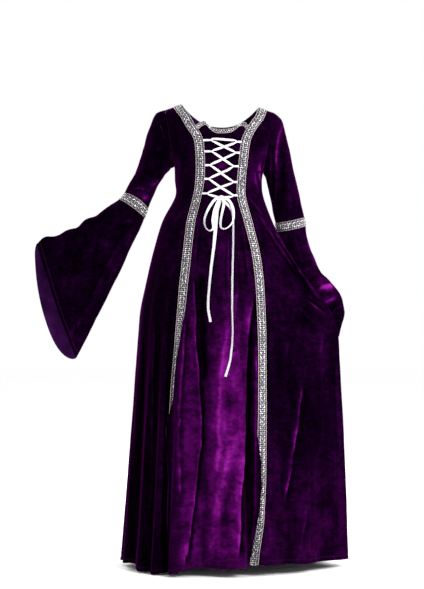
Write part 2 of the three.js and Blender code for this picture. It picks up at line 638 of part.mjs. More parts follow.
// A point in front of the gown at a place across and a height, a distance out from its surface
function onFront(x, z, out) {
  const side = x < 0 ? -1 : 1;
  let level = 1;
  let theta = 0;
  for (let n = 0; n < 6; n++) {
    theta = angleAt(side, level, () => Math.abs(x));
    level = z > bare(theta, 1, -1).z ? levelAt(theta, z, -1) : levelOfHeight(z);
  }
  const normal = gownNormal(theta, level, -1);
  return { point: gown(theta, level, -1).addScaledVector(normal, out), normal };
}

// A flat tape along a line of points: its width lies across the line, square to the normals
function tape(line, normals, width, thick, closedAcross) {
  const outer = [];
  const inner = [];
  line.forEach((p, i) => {
    const along = line[Math.min(i + 1, line.length - 1)].clone().sub(line[Math.max(i - 1, 0)]);
    const across = closedAcross ?? along.cross(normals[i]).normalize();
    const edge = (sign) => p.clone().addScaledVector(across, (sign * width) / 2);
    outer.push([edge(-1).addScaledVector(normals[i], thick / 2), edge(1).addScaledVector(normals[i], thick / 2)]);
    inner.push([edge(-1).addScaledVector(normals[i], -thick / 2), edge(1).addScaledVector(normals[i], -thick / 2)]);
  });
  return wall(outer, inner);
}

// The laced rows: height at each side, and how far each loop stands in from the trim
const LACE_ROWS = [
  { right: -107, rightLoop: 30, left: -112, leftLoop: 19 },
  { right: -141, rightLoop: 27, left: -145, leftLoop: 17 },
  { right: -182, rightLoop: 20, left: -185, leftLoop: 19 },
  { right: -223, rightLoop: 18, left: -229, leftLoop: 16 },
  { right: -265, rightLoop: 21, left: -271, leftLoop: 16 },
];
const KNOT = { x: 4, z: -279, out: 6.2, wide: 9, high: 7.5, deep: 4.4 };
const KNOT_GAP = 0.35; // between the knot and each ribbon that comes out of it
const LOOP_CLEAR = 0.9; // gap between a trim's edge and the loop's ends beside it
const LOOP_FOOT = 1.5; // height of a loop's under layer over the panel
const LOOP_TOP = 4.8; // height of its upper layer
const LACE_OUT = 3.15; // height of the lace inside a loop
const CROSS_OUT = 1.1; // how far the lace rises and dips where it crosses itself
const LOOP_EYE = 6.5; // from the loop's fold to the middle of the lace inside it
// How far along its crossing the lace has risen over, or dipped under, the strand that it crosses
const CROSSING = [
  { t: 0.2, rise: 0.5 },
  { t: 0.35, rise: 1 },
  { t: 0.5, rise: 1 },
  { t: 0.65, rise: 1 },
  { t: 0.8, rise: 0.5 },
];

// The inner edge of a trim at a height, as a place across
function trimEdge(name, z) {
  let theta = SHOULDERS[name].side * deg(30);
  let level = 1;
  for (let n = 0; n < 8; n++) {
    level = z > bare(theta, 1, -1).z ? levelAt(theta, z, -1) : levelOfHeight(z);
    theta = trimAngles(name, level).inner;
  }
  return gown(theta, level, -1).x;
}

function laceLoop(name, n) {
  const { side } = SHOULDERS[name];
  const row = LACE_ROWS[n];
  const z = row[name];
  const reach = row[`${name}Loop`];
  const from = trimEdge(name, z) - side * LOOP_CLEAR;
  const fold = (LOOP_TOP - LOOP_FOOT) / 2;
  const path = [
    { in: 0, out: LOOP_FOOT },
    { in: reach * 0.5, out: LOOP_FOOT },
    { in: reach - fold, out: LOOP_FOOT },
    { in: reach - fold * 0.3, out: LOOP_FOOT + fold * 0.3 },
    { in: reach, out: LOOP_FOOT + fold },
    { in: reach - fold * 0.3, out: LOOP_TOP - fold * 0.3 },
    { in: reach - fold, out: LOOP_TOP },
    { in: reach * 0.4, out: LOOP_TOP - 0.4 },
    { in: 0, out: LOOP_FOOT + 1.5 },
  ];
  const made = path.map((p) => onFront(from - side * p.in, z, p.out));
  const line = made.map((m) => m.point);
  const down = onFront(from - side * reach, z - 4, 0).point.sub(onFront(from - side * reach, z + 4, 0).point);
  const across = down.normalize();
  const normals = line.map((p, i) => {
    const along = line[Math.min(i + 1, line.length - 1)].clone().sub(line[Math.max(i - 1, 0)]);
    return along.cross(across).normalize();
  });
  add(`lace_loop_${name}_${n + 1}`, tape(line, normals, LOOP_WIDTH, LACE_THICK, across), SATIN);
}

// The lace's way through a loop and out past its edges, going up through it, as steps from its eye
const THROUGH = [
  { in: 8, up: -7.6 },
  { in: 2.6, up: -5.4 },
  { in: 0, up: -2 },
  { in: 0, up: 2 },
  { in: 2.6, up: 5.4 },
  { in: 8, up: 7.6 },
];

// The crossed lace: from the knot up one way through the loops, across the top and down the other
function lacing() {
  const rows = [...LACE_ROWS.keys()];
  const other = { left: "right", right: "left" };
  const pass = (start, order, up) => order.map((n, i) => ({ name: i % 2 ? other[start] : start, n, up }));
  const rising = pass("left", rows.toReversed(), 1);
  const stops = [...rising, ...pass(other[rising.at(-1).name], rows, -1)];
  const behind = (KNOT.out - LACE_OUT) / KNOT.deep;
  const knotGap = KNOT.wide * Math.sqrt(1 - behind ** 2) + 1.5 * KNOT_GAP;
  const flat = [{ x: KNOT.x + knotGap, z: KNOT.z + 1, out: LACE_OUT }];
  stops.forEach(({ name, n, up }, i) => {
    const { side } = SHOULDERS[name];
    const z = LACE_ROWS[n][name];
    const eye = trimEdge(name, z) - side * (LACE_ROWS[n][`${name}Loop`] - LOOP_EYE);
    for (const step of THROUGH) flat.push({ x: eye - side * step.in, z: z + up * step.up, out: LACE_OUT });
    const crosses = i < stops.length - 1 && i !== rows.length - 1;
    if (crosses) {
      const from = flat.at(-1);
      const next = stops[i + 1];
      const nextZ = LACE_ROWS[next.n][next.name];
      const nextSide = SHOULDERS[next.name].side;
      const nextEye = trimEdge(next.name, nextZ) - nextSide * (LACE_ROWS[next.n][`${next.name}Loop`] - LOOP_EYE);
      const to = { x: nextEye - nextSide * THROUGH[0].in, z: nextZ + next.up * THROUGH[0].up };
      const over = up * (i % 2 ? -1 : 1) * CROSS_OUT;
      for (const { t, rise } of CROSSING)
        flat.push({ x: mix(from.x, to.x, t), z: mix(from.z, to.z, t), out: LACE_OUT + over * rise });
    }
  });
  flat.push({ x: KNOT.x - knotGap, z: KNOT.z + 1, out: LACE_OUT });
  const made = flat.map((p) => onFront(p.x, p.z, p.out));
  const line = made.map((m) => m.point);
  add("lacing", tape(line, made.map((m) => m.normal), LACE_WIDTH, LACE_THICK), SATIN);
}

// The bow's loops and tails, in order from the knot: place across, height and distance in front
const BOW_LOOPS = {
  right: [
    { x: -13, z: -282, out: 7 },
    { x: -26, z: -297, out: 9 },
    { x: -39, z: -320, out: 9 },
    { x: -47, z: -345, out: 8 },
    { x: -44, z: -367, out: 7 },
    { x: -31, z: -378, out: 8 },
    { x: -20, z: -369, out: 12 },
    { x: -22, z: -345, out: 15 },
    { x: -17, z: -317, out: 15 },
    { x: -9, z: -297, out: 14 },
  ],
  left: [
    { x: 20, z: -282, out: 7 },
    { x: 32, z: -295, out: 9 },
    { x: 40, z: -320, out: 9 },
    { x: 39, z: -345, out: 8 },
    { x: 31, z: -361, out: 8 },
    { x: 16, z: -372, out: 9 },
    { x: 3, z: -369, out: 12 },
    { x: 1, z: -352, out: 15 },
    { x: 5, z: -328, out: 15 },
    { x: 11, z: -298, out: 15.5 },
  ],
};
const TAILS = {
  right: [
    { x: -2, z: -294, out: 3 },
    { x: -10, z: -320, out: 2 },
    { x: -13, z: -360, out: 1.8 },
    { x: -19, z: -424, out: 2 },
    { x: -28, z: -499, out: 2 },
    { x: -36, z: -598, out: 2 },
    { x: -29, z: -650, out: 2 },
  ],
  left: [
    { x: 16, z: -293, out: 3 },
    { x: 30, z: -308, out: 2 },
    { x: 38, z: -330, out: 1.8 },
    { x: 39, z: -399, out: 2 },
    { x: 36, z: -520, out: 2 },
    { x: 35, z: -620, out: 2 },
    { x: 36, z: -690, out: 2 },
    { x: 29, z: -762, out: 2 },
    { x: 15, z: -811, out: 2 },
  ],
};
const BOW_WIDTH = 8;
const TAIL_WIDTH = 9;
const BOW_POINTS = 28;
const TAIL_POINTS = 30;

// The most forward place of the gown's front at a height, within a little of a place across
function frontY(x, z, reach) {
  const level = levelOfHeight(z);
  let y = Infinity;
  let before = gown(deg(-40), level, -1);
  for (let a = -39; a <= 40; a++) {
    const here = gown(deg(a), level, -1);
    const [low, high] = before.x < here.x ? [before, here] : [here, before];
    for (const place of [x - reach, x, x + reach])
      if (place >= low.x && place <= high.x) {
        const t = (place - low.x) / Math.max(high.x - low.x, STEP);
        y = Math.min(y, mix(low.y, high.y, t));
      }
    before = here;
  }
  return y;
}

// Where each ribbon leaves the knot, as a direction from its middle: across, forward and down
const KNOT_SEATS = {
  right: { outer: [-1, 0.1, 0.3], inner: [-0.75, 0.8, 0.6], tail: [-0.4, -0.45, 1] },
  left: { outer: [1, 0.1, 0.3], inner: [0.7, 1, 0.9], tail: [0.75, -0.45, 0.9] },
};

const knotMiddle = () => vec(KNOT.x, onFront(KNOT.x, KNOT.z, 0).point.y - KNOT.out, KNOT.z);

// A place just clear of the knot, in a direction from its middle
function knotSeat([across, forward, down]) {
  const way = vec(across, -forward, -down).normalize();
  const size = vec(KNOT.wide, KNOT.deep, KNOT.high);
  const normal = way.clone().divide(size).normalize();
  return knotMiddle().add(way.multiply(size)).addScaledVector(normal, KNOT_GAP);
}

// A curve in front of the gown through a route's rows, from the knot, and back to it if it has an end there
function routeCurve(route, width, start, end) {
  const points = route.map(({ x, z, out }) => vec(x, frontY(x, z, width / 2) - out, z));
  return new THREE.CatmullRomCurve3([knotSeat(start), ...points, ...(end ? [knotSeat(end)] : [])]);
}

function bowKnot() {
  const geometry = new THREE.SphereGeometry(1, 14, 10);
  geometry.scale(KNOT.wide, KNOT.deep, KNOT.high);
  const { x, y, z } = knotMiddle();
  geometry.translate(x, y, z);
  add("bow_knot", geometry, SATIN);
}

// A loop of the bow: flat to the front at the knot, and turning its edge forward round the bend
function bowLoop(name) {
  const { outer, inner } = KNOT_SEATS[name];
  const line = routeCurve(BOW_LOOPS[name], BOW_WIDTH, outer, inner).getSpacedPoints(BOW_POINTS);
  const middle = line.reduce((sum, p) => sum.add(p), vec(0, 0, 0)).divideScalar(line.length);
  const normals = line.map((p, i) => {
    const t = i / BOW_POINTS;
    const turn = deg(mix(10, 62, Math.sin(Math.PI * t) ** 2));
    const radial = p.clone().sub(middle).setY(0).normalize();
    return radial.multiplyScalar(Math.sin(turn)).add(vec(0, -Math.cos(turn), 0)).normalize();
  });
  add(`bow_loop_${name}`, tape(line, normals, BOW_WIDTH, LACE_THICK), SATIN);
}

function laceTail(name) {
  const line = routeCurve(TAILS[name], TAIL_WIDTH, KNOT_SEATS[name].tail).getSpacedPoints(TAIL_POINTS);
  const normals = line.map((p, i) => {
    const along = line[Math.min(i + 1, TAIL_POINTS)].clone().sub(line[Math.max(i - 1, 0)]);
    return along.cross(vec(1, 0, 0)).normalize();
  });
  add(`lace_tail_${name}`, tape(line, normals, TAIL_WIDTH, LACE_THICK), SATIN);
}

const front = frontPanel();
for (const name of ["right", "left"]) {
  strip(`front_trim_${name}`, sideFront(name), WOVEN);
  sleeve(name);
  LACE_ROWS.forEach((_, n) => laceLoop(name, n));
  bowLoop(name);
  laceTail(name);
}
strip("neck_trim", { grid: front.grid.slice(0, 2), normals: front.normals.slice(0, 2) }, WOVEN);
backPanel();
lacing();
bowKnot();

export default gownGroup;
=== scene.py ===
"""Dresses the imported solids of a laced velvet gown: crushed velvet shells on the solids' own form,
woven metallic trims with raised leaves, a satin lace with its bow, and the sewing that shows.
Sizes are millimetres until a mesh is made, +Z up, front towards -Y, +X on the wearer's left."""
import math

import bpy
import numpy as np
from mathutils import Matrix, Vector


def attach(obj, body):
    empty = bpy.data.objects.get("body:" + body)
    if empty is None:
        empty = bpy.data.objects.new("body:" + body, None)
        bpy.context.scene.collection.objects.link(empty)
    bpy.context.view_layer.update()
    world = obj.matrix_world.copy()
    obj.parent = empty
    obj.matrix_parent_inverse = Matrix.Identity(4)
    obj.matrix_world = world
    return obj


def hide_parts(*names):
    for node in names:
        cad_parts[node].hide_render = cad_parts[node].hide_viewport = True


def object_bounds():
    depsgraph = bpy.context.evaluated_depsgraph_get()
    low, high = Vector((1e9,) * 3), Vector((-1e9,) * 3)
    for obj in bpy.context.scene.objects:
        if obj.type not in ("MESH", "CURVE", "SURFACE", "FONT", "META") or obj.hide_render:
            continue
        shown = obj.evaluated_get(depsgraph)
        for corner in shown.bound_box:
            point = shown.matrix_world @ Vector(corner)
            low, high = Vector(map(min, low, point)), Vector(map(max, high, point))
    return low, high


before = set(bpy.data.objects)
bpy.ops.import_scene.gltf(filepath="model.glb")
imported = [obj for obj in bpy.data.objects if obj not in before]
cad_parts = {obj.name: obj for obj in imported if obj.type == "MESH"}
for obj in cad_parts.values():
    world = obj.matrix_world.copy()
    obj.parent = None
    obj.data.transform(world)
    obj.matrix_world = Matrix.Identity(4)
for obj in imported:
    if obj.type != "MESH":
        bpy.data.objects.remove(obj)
cad_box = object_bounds()
MM = 0.001

# Camera and lights


def aim(thing, target):
    """Turns a camera or lamp from where it is towards a point, in metres."""
    way = Vector(target) - thing.location
    thing.rotation_euler = way.to_track_quat("-Z", "Y").to_euler()


def add_object(name, data):
    thing = bpy.data.objects.new(name, data)
    bpy.context.scene.collection.objects.link(thing)
    return thing


# In metres: the photograph's viewpoint, level, a little right of the gown's middle, at hip height
CAMERA_PLACE = (-0.0244, -6.0, -0.5688)
LENS = 120.2
FLOOR_HALF = 16
FLOOR_DROP = 0.002
# Soft light from the photo's right and front, and a weaker one behind: place, target, size, power
LAMPS = {
    "key": ((2.3, -3.0, 1.1), (0.0, 0.0, -0.6), 1.6, 180),
    "side": ((3.0, 0.4, 0.2), (0.1, 0.0, -0.7), 1.4, 66),
    "back": ((-2.4, 3.4, 1.0), (0.0, 0.0, -0.7), 2.0, 150),
}


def add_camera():
    data = bpy.data.cameras.new("camera")
    data.lens = LENS
    data.sensor_width = 36.0
    data.clip_end = 60.0
    camera = add_object("camera", data)
    camera.location = CAMERA_PLACE
    camera.rotation_euler = (math.radians(90), 0, 0)
    bpy.context.scene.camera = camera


def add_studio():
    """Three soft lamps, a white world and a pale floor all round."""
    for name, (place, target, size, power) in LAMPS.items():
        data = bpy.data.lights.new(name, "AREA")
        data.size = size
        data.energy = power
        lamp = add_object(name, data)
        lamp.location = place
        aim(lamp, target)
    world = bpy.data.worlds.new("studio")
    world.use_nodes = True
    background = world.node_tree.nodes["Background"]
    background.inputs["Color"].default_value = (1, 1, 1, 1)
    background.inputs["Strength"].default_value = 1.0
    bpy.context.scene.world = world
    bpy.context.scene.view_settings.view_transform = "Standard"
    floor_z = cad_box[0][2] - FLOOR_DROP
    corners = ((-1, -1), (1, -1), (1, 1), (-1, 1))
    mesh = bpy.data.meshes.new("floor")
    mesh.from_pydata([(x * FLOOR_HALF, y * FLOOR_HALF, floor_z) for x, y in corners], [], [(0, 1, 2, 3)])
    mesh.materials.append(new_material("floor", (0.985, 0.985, 0.985), 0.9)[0])
    add_object("floor", mesh)


# Tables of the gown's form, the same as the solids'


def table(names, *rows):
    """A table with named columns, as an array for each."""
    return {name: np.array(values, float) for name, values in zip(names.split(), zip(*rows))}


CLOTH = 2.0
TRIM_THICK = 1.2
TRIM_WIDTH = 27.0
NECK_TRIM_WIDTH = 12.0
ELBOW_TRIM_HALF = 12.5
LIFT = 0.4
LACE_WIDTH = 6.0
LACE_THICK = 0.8
LOOP_WIDTH = 6.0
HEM_Z = -1375.0
ARMPIT_Z = -190.0
ARMPIT_SLANT = 10.0
ARMHOLE_DEEP = 48.0
CHEST_FRONT = 108.0
CHEST_BACK = 96.0
BACK_NECK_DROP = 58.0
SHOULDER_SLOPE = 56.0
SIDES = {"right": -1, "left": 1}

# Horizontal sections: reach to each side, front and back, and how the held-out side is pulled
SECTIONS = table(
    "z right left front back pull spread tip",
    (ARMPIT_Z, 139, 131, CHEST_FRONT, CHEST_BACK, 0, 0.4, 0),
    (-226, 138, 128, 102, 92, 0, 0.4, 0),
    (-272, 137, 133, 95, 85, 0, 0.4, 0),
    (-345, 175, 160, 112, 108, 0, 0.32, 0),
    (-433, 202, 188, 134, 136, 16, 0.26, 8),
    (-525, 224, 213, 153, 158, 52, 0.23, 26),
    (-605, 240, 231, 168, 176, 97, 0.21, 42),
    (-680, 247, 241, 180, 190, 116, 0.25, 44),
    (-780, 254, 251, 194, 207, 114, 0.32, 38),
    (-900, 261, 262, 210, 226, 110, 0.4, 30),
    (-1040, 271, 273, 226, 245, 106, 0.46, 22),
    (-1180, 281, 284, 241, 262, 101, 0.5, 15),
    (-1310, 291, 295, 255, 277, 95, 0.52, 11),
    (HEM_Z, 296, 300, 262, 284, 92, 0.52, 10),
)
# Ridges and grooves at the hem, in degrees round from the front middle
FOLDS = table(
    "at out lean top",
    (-94, 9, 0, -420),
    (-83, -7, 0, -430),
    (-73, 10, 0, -400),
    (-63, -9, 0, -400),
    (-54, 12, 4, -380),
    (-47, -9, 0, -400),
    (-41, 12, 0, -420),
    (-32.5, -20, 0, -520),
    (-24, 24, -15, -430),
    (-11.5, -14, 0, -330),
    (9.5, 21, 7, -340),
    (16.5, -21, -3, -420),
    (23.5, 5, 0, -420),
    (34, -4, 0, -600),
    (49, 7, 0, -560),
    (64, -5, 0, -620),
    (78, 2, 0, -700),
    (90, 0, 0, -700),
    (103, -12, 0, -560),
    (116, 13, 0, -430),
    (129, -15, 0, -400),
    (142, 17, 0, -380),
    (155, -16, 0, -380),
    (168, 19, 0, -360),
    (181, -16, 0, -360),
    (194, 20, 0, -360),
    (207, -16, 0, -380),
    (220, 17, 0, -380),
    (232, -14, 0, -400),
    (244, 13, 0, -400),
    (255, -9, 0, -420),
)
HEM_LINE = table(
    "at z",
    (-180, -1384),
    (-90, -1378),
    (-62, -1375),
    (-50, -1391),
    (-27, -1386),
    (-17, -1369),
    (0, -1369),
    (9, -1361),
    (18, -1361),
    (50, -1364),
    (90, -1373),
    (180, -1384),
)
TRIM_LINE = table(
    "z right left",
    (14, 133, 137),
    (0, 126, 131),
    (-31, 106, 121),
    (-60, 90, 101),
    (-90, 71, 84),
    (-110, 64, 77),
    (-134, 61, 73),
    (-181, 59, 68),
    (-226, 61, 64),
    (-272, 69, 64),
    (-345, 87, 83),
    (-436, 98, 105),
    (-526, 107, 117),
    (-677, 121, 124),
    (-868, 138, 124),
    (-1002, 144, 122),
    (-1231, 143, 117),
    (HEM_Z, 142, 104),
)
NECK_EDGE = table(
    "across z",
    (-1, -61),
    (-0.82, -52),
    (-0.64, -48),
    (-0.5, -60),
    (-0.3, -71),
    (0, -73),
    (0.36, -70),
    (0.55, -60),
    (0.72, -51),
    (0.88, -52),
    (1, -61),
)
TIP_X = {"right": 167.0, "left": 165.0}
TIP_Z = {"right": -6.0, "left": -15.0}
ARMPIT_X = {"right": 139.0, "left": 131.0}
BUST = {"out": 17, "x": 74, "z": -200, "wide": 40, "above": 62, "below": 40}
PEAK_ROUND = 0.06  # rounding of the held-out side's edge, in radians
FOLDS_GROW = 0.75  # how soon a fold reaches its size at the hem
FOLDS_DROP = 0.25  # how far a fold hangs down for a millimetre out
HEM_SHIFT_TOP = -400.0  # height below which the cloth follows the hem's line
FRONT_END = math.radians(84)  # how far round the front a search looks
HALVINGS = 30

SLEEVES = {
    "right": table(
        "ox oy oz ix iy iz wide hang",
        (-167, 0, -6, -139, 0, -180, 48, 48),
        (-196, -4, -19, -152, -4, -186, 48, 48),
        (-209, -15, -57, -159, -15, -195, 47, 47),
        (-223, -34, -106, -168, -34, -206, 46, 46),
        (-238, -56, -156, -178, -56, -224, 45, 45),
        (-255, -78, -202, -192, -78, -250, 44, 44),
        (-277, -97, -244, -206, -97, -286, 43, 43),
        (-295, -110, -277, -222, -110, -328, 44, 44),
        (-325, -116, -299, -236, -112, -365, 45, 40),
        (-354, -122, -320, -254, -114, -401, 45, 36),
        (-386, -128, -338, -275, -117, -445, 44, 33),
        (-422, -135, -361, -300, -120, -502, 43, 31),
        (-460, -142, -382, -329, -123, -560, 42, 30),
        (-499, -150, -394, -360, -126, -621, 41, 30),
        (-526, -156, -403, -394, -129, -690, 40, 30),
        (-546, -161, -415, -428, -132, -757, 38, 30),
    ),
    "left": table(
        "ox oy oz ix iy iz wide hang",
        (165, 0, -15, 131, 0, -200, 48, 48),
        (188, 2, -36, 139, 2, -212, 48, 48),
        (200, 5, -80, 143, 5, -226, 47, 47),
        (212, 9, -130, 147, 9, -244, 46, 46),
        (224, 13, -185, 152, 13, -266, 45, 45),
        (237, 17, -240, 157, 17, -292, 44, 44),
        (250, 21, -295, 163, 21, -325, 44, 44),
        (261, 24, -345, 172, 24, -362, 44, 44),
        (266, 26, -386, 176, 38, -418, 44, 38),
        (276, 26, -426, 182, 62, -478, 42, 32),
        (289, 25, -462, 190, 92, -538, 40, 28),
        (306, 23, -499, 200, 122, -598, 38, 25),
        (330, 20, -523, 211, 146, -660, 36, 24),
        (353, 16, -549, 222, 164, -724, 35, 24),
        (371, 12, -580, 233, 176, -788, 34, 24),
        (378, 8, -616, 244, 184, -850, 32, 24),
    ),
}
ELBOW_ROW = 7
LAST_ROW = 15
BELL_FOLDS = 3
BELL_FOLD_DEEP = 6.0
HEM_SWING = {"right": (12.0, 62.0), "left": (-26.0, 34.0)}
SLEEVE_CLEAR = 5.0

# Curves through the tables


def smooth(t):
    u = np.clip(t, 0, 1)
    return u * u * (3 - 2 * u)


def mix(a, b, t):
    return a + (b - a) * t


def catmull_rom(a, b, c, d, t):
    return b + 0.5 * t * (c - a + t * (2 * a - 5 * b + 4 * c - d + t * (3 * (b - c) + d - a)))


def spline(values, i, t):
    """The smooth value between entries i and i + 1."""
    last = len(values) - 1
    return catmull_rom(*(values[np.clip(i + n, 0, last)] for n in (-1, 0, 1, 2)), t)


def unit(v):
    return v / np.maximum(np.linalg.norm(v, axis=-1, keepdims=True), 1e-9)


def run_along(line):
    """The length travelled at each point of a line."""
    return np.concatenate([[0], np.cumsum(np.linalg.norm(np.diff(line, axis=0), axis=1))])


def read_along(at, run, values):
    """Points or normals at lengths along a line, from the ones at its points."""
    return np.stack([np.interp(at, run, values[:, k]) for k in range(3)], -1)


def along_of(line):
    return unit(np.gradient(line, axis=0))


def halved(low, high, is_low):
    """Where a test turns from true to false between two bounds."""
    for _ in range(HALVINGS):
        middle = (low + high) / 2
        test = is_low(middle)
        low = np.where(test, middle, low)
        high = np.where(test, high, middle)
    return (low + high) / 2


def column(source, key, at, name):
    """One column's value at a height or place, on a smooth curve through the rows."""
    keys = source[key]
    sign = 1 if keys[-1] > keys[0] else -1
    i = np.clip(np.searchsorted(sign * keys, sign * np.asarray(at), "right") - 1, 0, len(keys) - 2)
    t = np.clip((at - keys[i]) / (keys[i + 1] - keys[i]), 0, 1)
    return spline(source[name], i, t)


def section(k, name):
    i = np.clip(np.floor(k).astype(int), 0, len(SECTIONS["z"]) - 2)
    return spline(SECTIONS[name], i, k - i)


def fold_at(theta, z):
    """How far the skirt's folds stand out and lean at an angle and height."""
    first = FOLDS["at"][0]
    at = (np.degrees(theta) - first) % 360 + first
    count = len(FOLDS["at"])
    here = np.searchsorted(FOLDS["at"], at, "right") - 1
    after = (here + 1) % count
    end = FOLDS["at"][after] + np.where(after == 0, 360, 0)
    t = smooth((at - FOLDS["at"][here]) / (end - FOLDS["at"][here]))
    both = []
    for n in (here, after):
        top = FOLDS["top"][n]
        grown = smooth((top - z) / (top - HEM_Z)) ** FOLDS_GROW
        both.append((FOLDS["out"][n] * grown, FOLDS["lean"][n] * grown))
    return [mix(a, b, t) for a, b in zip(*both)]


def bust_at(x, z):
    across = (np.abs(x) - BUST["x"]) / BUST["wide"]
    down = (z - BUST["z"]) / np.where(z > BUST["z"], BUST["above"], BUST["below"])
    return BUST["out"] * np.exp(-0.5 * (across * across + down * down))


def hem_shift(theta, z):
    at = (np.degrees(theta) + 180) % 360 - 180
    grown = smooth((z - HEM_SHIFT_TOP) / (HEM_Z - HEM_SHIFT_TOP))
    return (column(HEM_LINE, "at", at, "z") - HEM_Z) * grown


def by_side(theta, values):
    """A value for the wearer's left or right, whichever an angle is on."""
    return np.where(np.sin(theta) >= 0, values["left"], values["right"])


def bare(theta, level, half):
    """The gown without folds, at an angle from the front's middle, a level and a half: -1 front, 1 back.
    The level is 0 at the shoulder seam and 1 at the armpit, then rises by one a section."""
    theta, level, half = np.broadcast_arrays(theta, level, half)
    s = np.sin(theta)
    c = np.cos(theta) * -half
    up = np.clip(1 - level, 0, 1)
    x_high = s * mix(by_side(theta, ARMPIT_X), by_side(theta, TIP_X), up)
    top = by_side(theta, TIP_Z) + SHOULDER_SLOPE * (1 - np.abs(s))
    z_high = mix(ARMPIT_Z - ARMPIT_SLANT * s, top, up)
    edge = ARMHOLE_DEEP * np.sqrt(np.clip(1 - (2 * up - 1) ** 2, 0, 1))
    front = CHEST_FRONT * (1 - up**2.6) ** 0.62
    back = CHEST_BACK * (1 - up**4) ** 0.6
    y_high = edge + (np.where(half < 0, front, back) - edge) * c
    y_high = y_high + np.where(half < 0, bust_at(x_high, z_high) * smooth(c * 2), 0)
    y_high = half * np.maximum(y_high, 0.2)

    k = np.maximum(level - 1, 0)
    reach = np.where(s >= 0, section(k, "left"), section(k, "right"))
    deep = np.where(np.cos(theta) >= 0, section(k, "front"), section(k, "back"))
    off = np.abs(theta - math.pi / 2)
    peak = np.exp(-(np.sqrt(off * off + PEAK_ROUND**2) - PEAK_ROUND) / section(k, "spread"))
    x_low = s * reach + section(k, "pull") * peak
    level_z = section(k, "z")
    z_low = level_z - ARMPIT_SLANT * s * np.clip(1 - k / 2, 0, 1) + hem_shift(theta, level_z)
    y_low = -np.cos(theta) * deep - section(k, "tip") * peak
    y_low = y_low - np.where(half < 0, bust_at(x_low, z_low) * smooth(c * 2), 0)
    axes = ((x_high, x_low), (y_high, y_low), (z_high, z_low))
    return np.stack([np.where(level <= 1, high, low) for high, low in axes], -1)


STEP = 1e-3


def gown(theta, level, half):
    """The gown with its folds, pushed out and over along the section's own normal."""
    theta, level, half = (np.array(v, float) for v in np.broadcast_arrays(theta, level, half))
    behind = level < 0
    theta = np.where(behind, math.pi - theta, theta)
    half = np.where(behind, -half, half)
    level = np.abs(level)
    p = bare(theta, level, half)
    along = bare(theta + STEP, level, half) - bare(theta - STEP, level, half)
    along[..., 2] = 0
    along = unit(along)
    out, lean = fold_at(theta, p[..., 2])
    moved = np.stack(
        [
            along[..., 1] * out + along[..., 0] * lean,
            along[..., 1] * lean - along[..., 0] * out,
            -FOLDS_DROP * np.maximum(out, 0),
        ],
        -1,
    )
    return p + np.where((level > 1)[..., None], moved, 0)


def gown_normal(theta, level, half):
    around = gown(theta + STEP, level, half) - gown(theta - STEP, level, half)
    down = gown(theta, level + STEP, half) - gown(theta, level - STEP, half)
    return unit(np.cross(down, around))


def turn_for(length, theta, level, half):
    """How many radians of the gown's surface a short length covers."""
    step = gown(theta + STEP, level, half) - gown(theta - STEP, level, half)
    return length * 2 * STEP / np.linalg.norm(step, axis=-1)


def trim_angles(name, level):
    """Angles of a front trim's inner edge, middle and outer edge at each level."""
    side = SIDES[name]
    level = np.asarray(level, float)

    def inside(angle):
        p = bare(side * angle, level, -1)
        return np.abs(p[..., 0]) < column(TRIM_LINE, "z", p[..., 2], name)

    mid = side * halved(np.zeros_like(level), np.full_like(level, FRONT_END), inside)
    turn = side * turn_for(TRIM_WIDTH / 2, mid, np.maximum(level, 0.02), -1)
    return mid - turn, mid, mid + turn


def level_at(theta, z, half):
    """The level, from shoulder to armpit, at which an angle has a height."""
    low = bare(theta, 1.0, half)[..., 2]
    high = bare(theta, 0.0, half)[..., 2]
    return np.clip(1 - (z - low) / (high - low), 0, 1)


def level_of_height(z):
    z = np.asarray(z, float)
    lowest = np.full_like(z, len(SECTIONS["z"]))
    return halved(np.ones_like(z), lowest, lambda level: section(level - 1, "z") > z)


# Creases, the velvet's crushed pile, and the painted highlight and shade on them


HASH = np.array([127.1, 311.7, 74.7])


def noise(points, size, seed):
    """Smooth noise from -1 to 1 at points, with a feature size along each axis."""
    q = points / np.array(size, float) + 17.3 * (seed + 1)
    cell = np.floor(q)
    f = smooth(q - cell)
    total = 0
    for corner in np.ndindex(2, 2, 2):
        at = cell + corner
        h = np.sin(at @ HASH + 13.7 * seed) * 43758.5453
        weight = np.prod(np.where(np.array(corner) == 1, f, 1 - f), axis=-1)
        total = total + weight * (2 * (h - np.floor(h)) - 1)
    return total


# Creases on what faces forward. Each is a route of (x, z), mostly from its top down,
# then the height, half width and shine on each of its sides. Where they differ, it is a fold's edge.
# Shine above 0 is painted highlight, below 0 painted shade.
FOLD_EDGE = [
    (-76, -515), (-71, -627), (-71, -723), (-64, -787), (-58, -882), (-54, -965), (-56, -1013),
    (-65, -1087), (-74, -1161), (-81, -1235), (-90, -1309), (-104, -1368),
]
FOLD_BACK = [(-54, -498), (-54, -595), (-52, -691), (-50, -755), (-46, -835)]
SECOND_EDGE = [(-103, -643), (-109, -755), (-116, -851), (-119, -946), (-117, -1043), (-118, -1165)]
MIDDLE_LINE = [(25, -611), (17, -691), (11, -755), (3, -819), (1, -892), (-10, -964)]
LOW_LINE = [(30, -1012), (9, -1116), (-9, -1175), (-21, -1264), (-27, -1337)]
LAST_RIDGE = [
    (99, -573), (89, -659), (83, -723), (78, -819), (75, -914), (73, -1028), (67, -1117),
    (62, -1176), (61, -1250), (53, -1338),
]
SEAM_LINE = [(106, -691), (106, -819), (105, -946), (103, -1088), (103, -1207), (92, -1310)]
HELD_CREASE = [
    (246, -830), (243, -868), (237, -905), (234, -948), (226, -992), (216, -1052), (212, -1090),
    (203, -1130), (190, -1190),
]
TENSION_LINE = [(154, -366), (178, -401), (203, -436), (238, -496), (281, -563), (300, -590)]
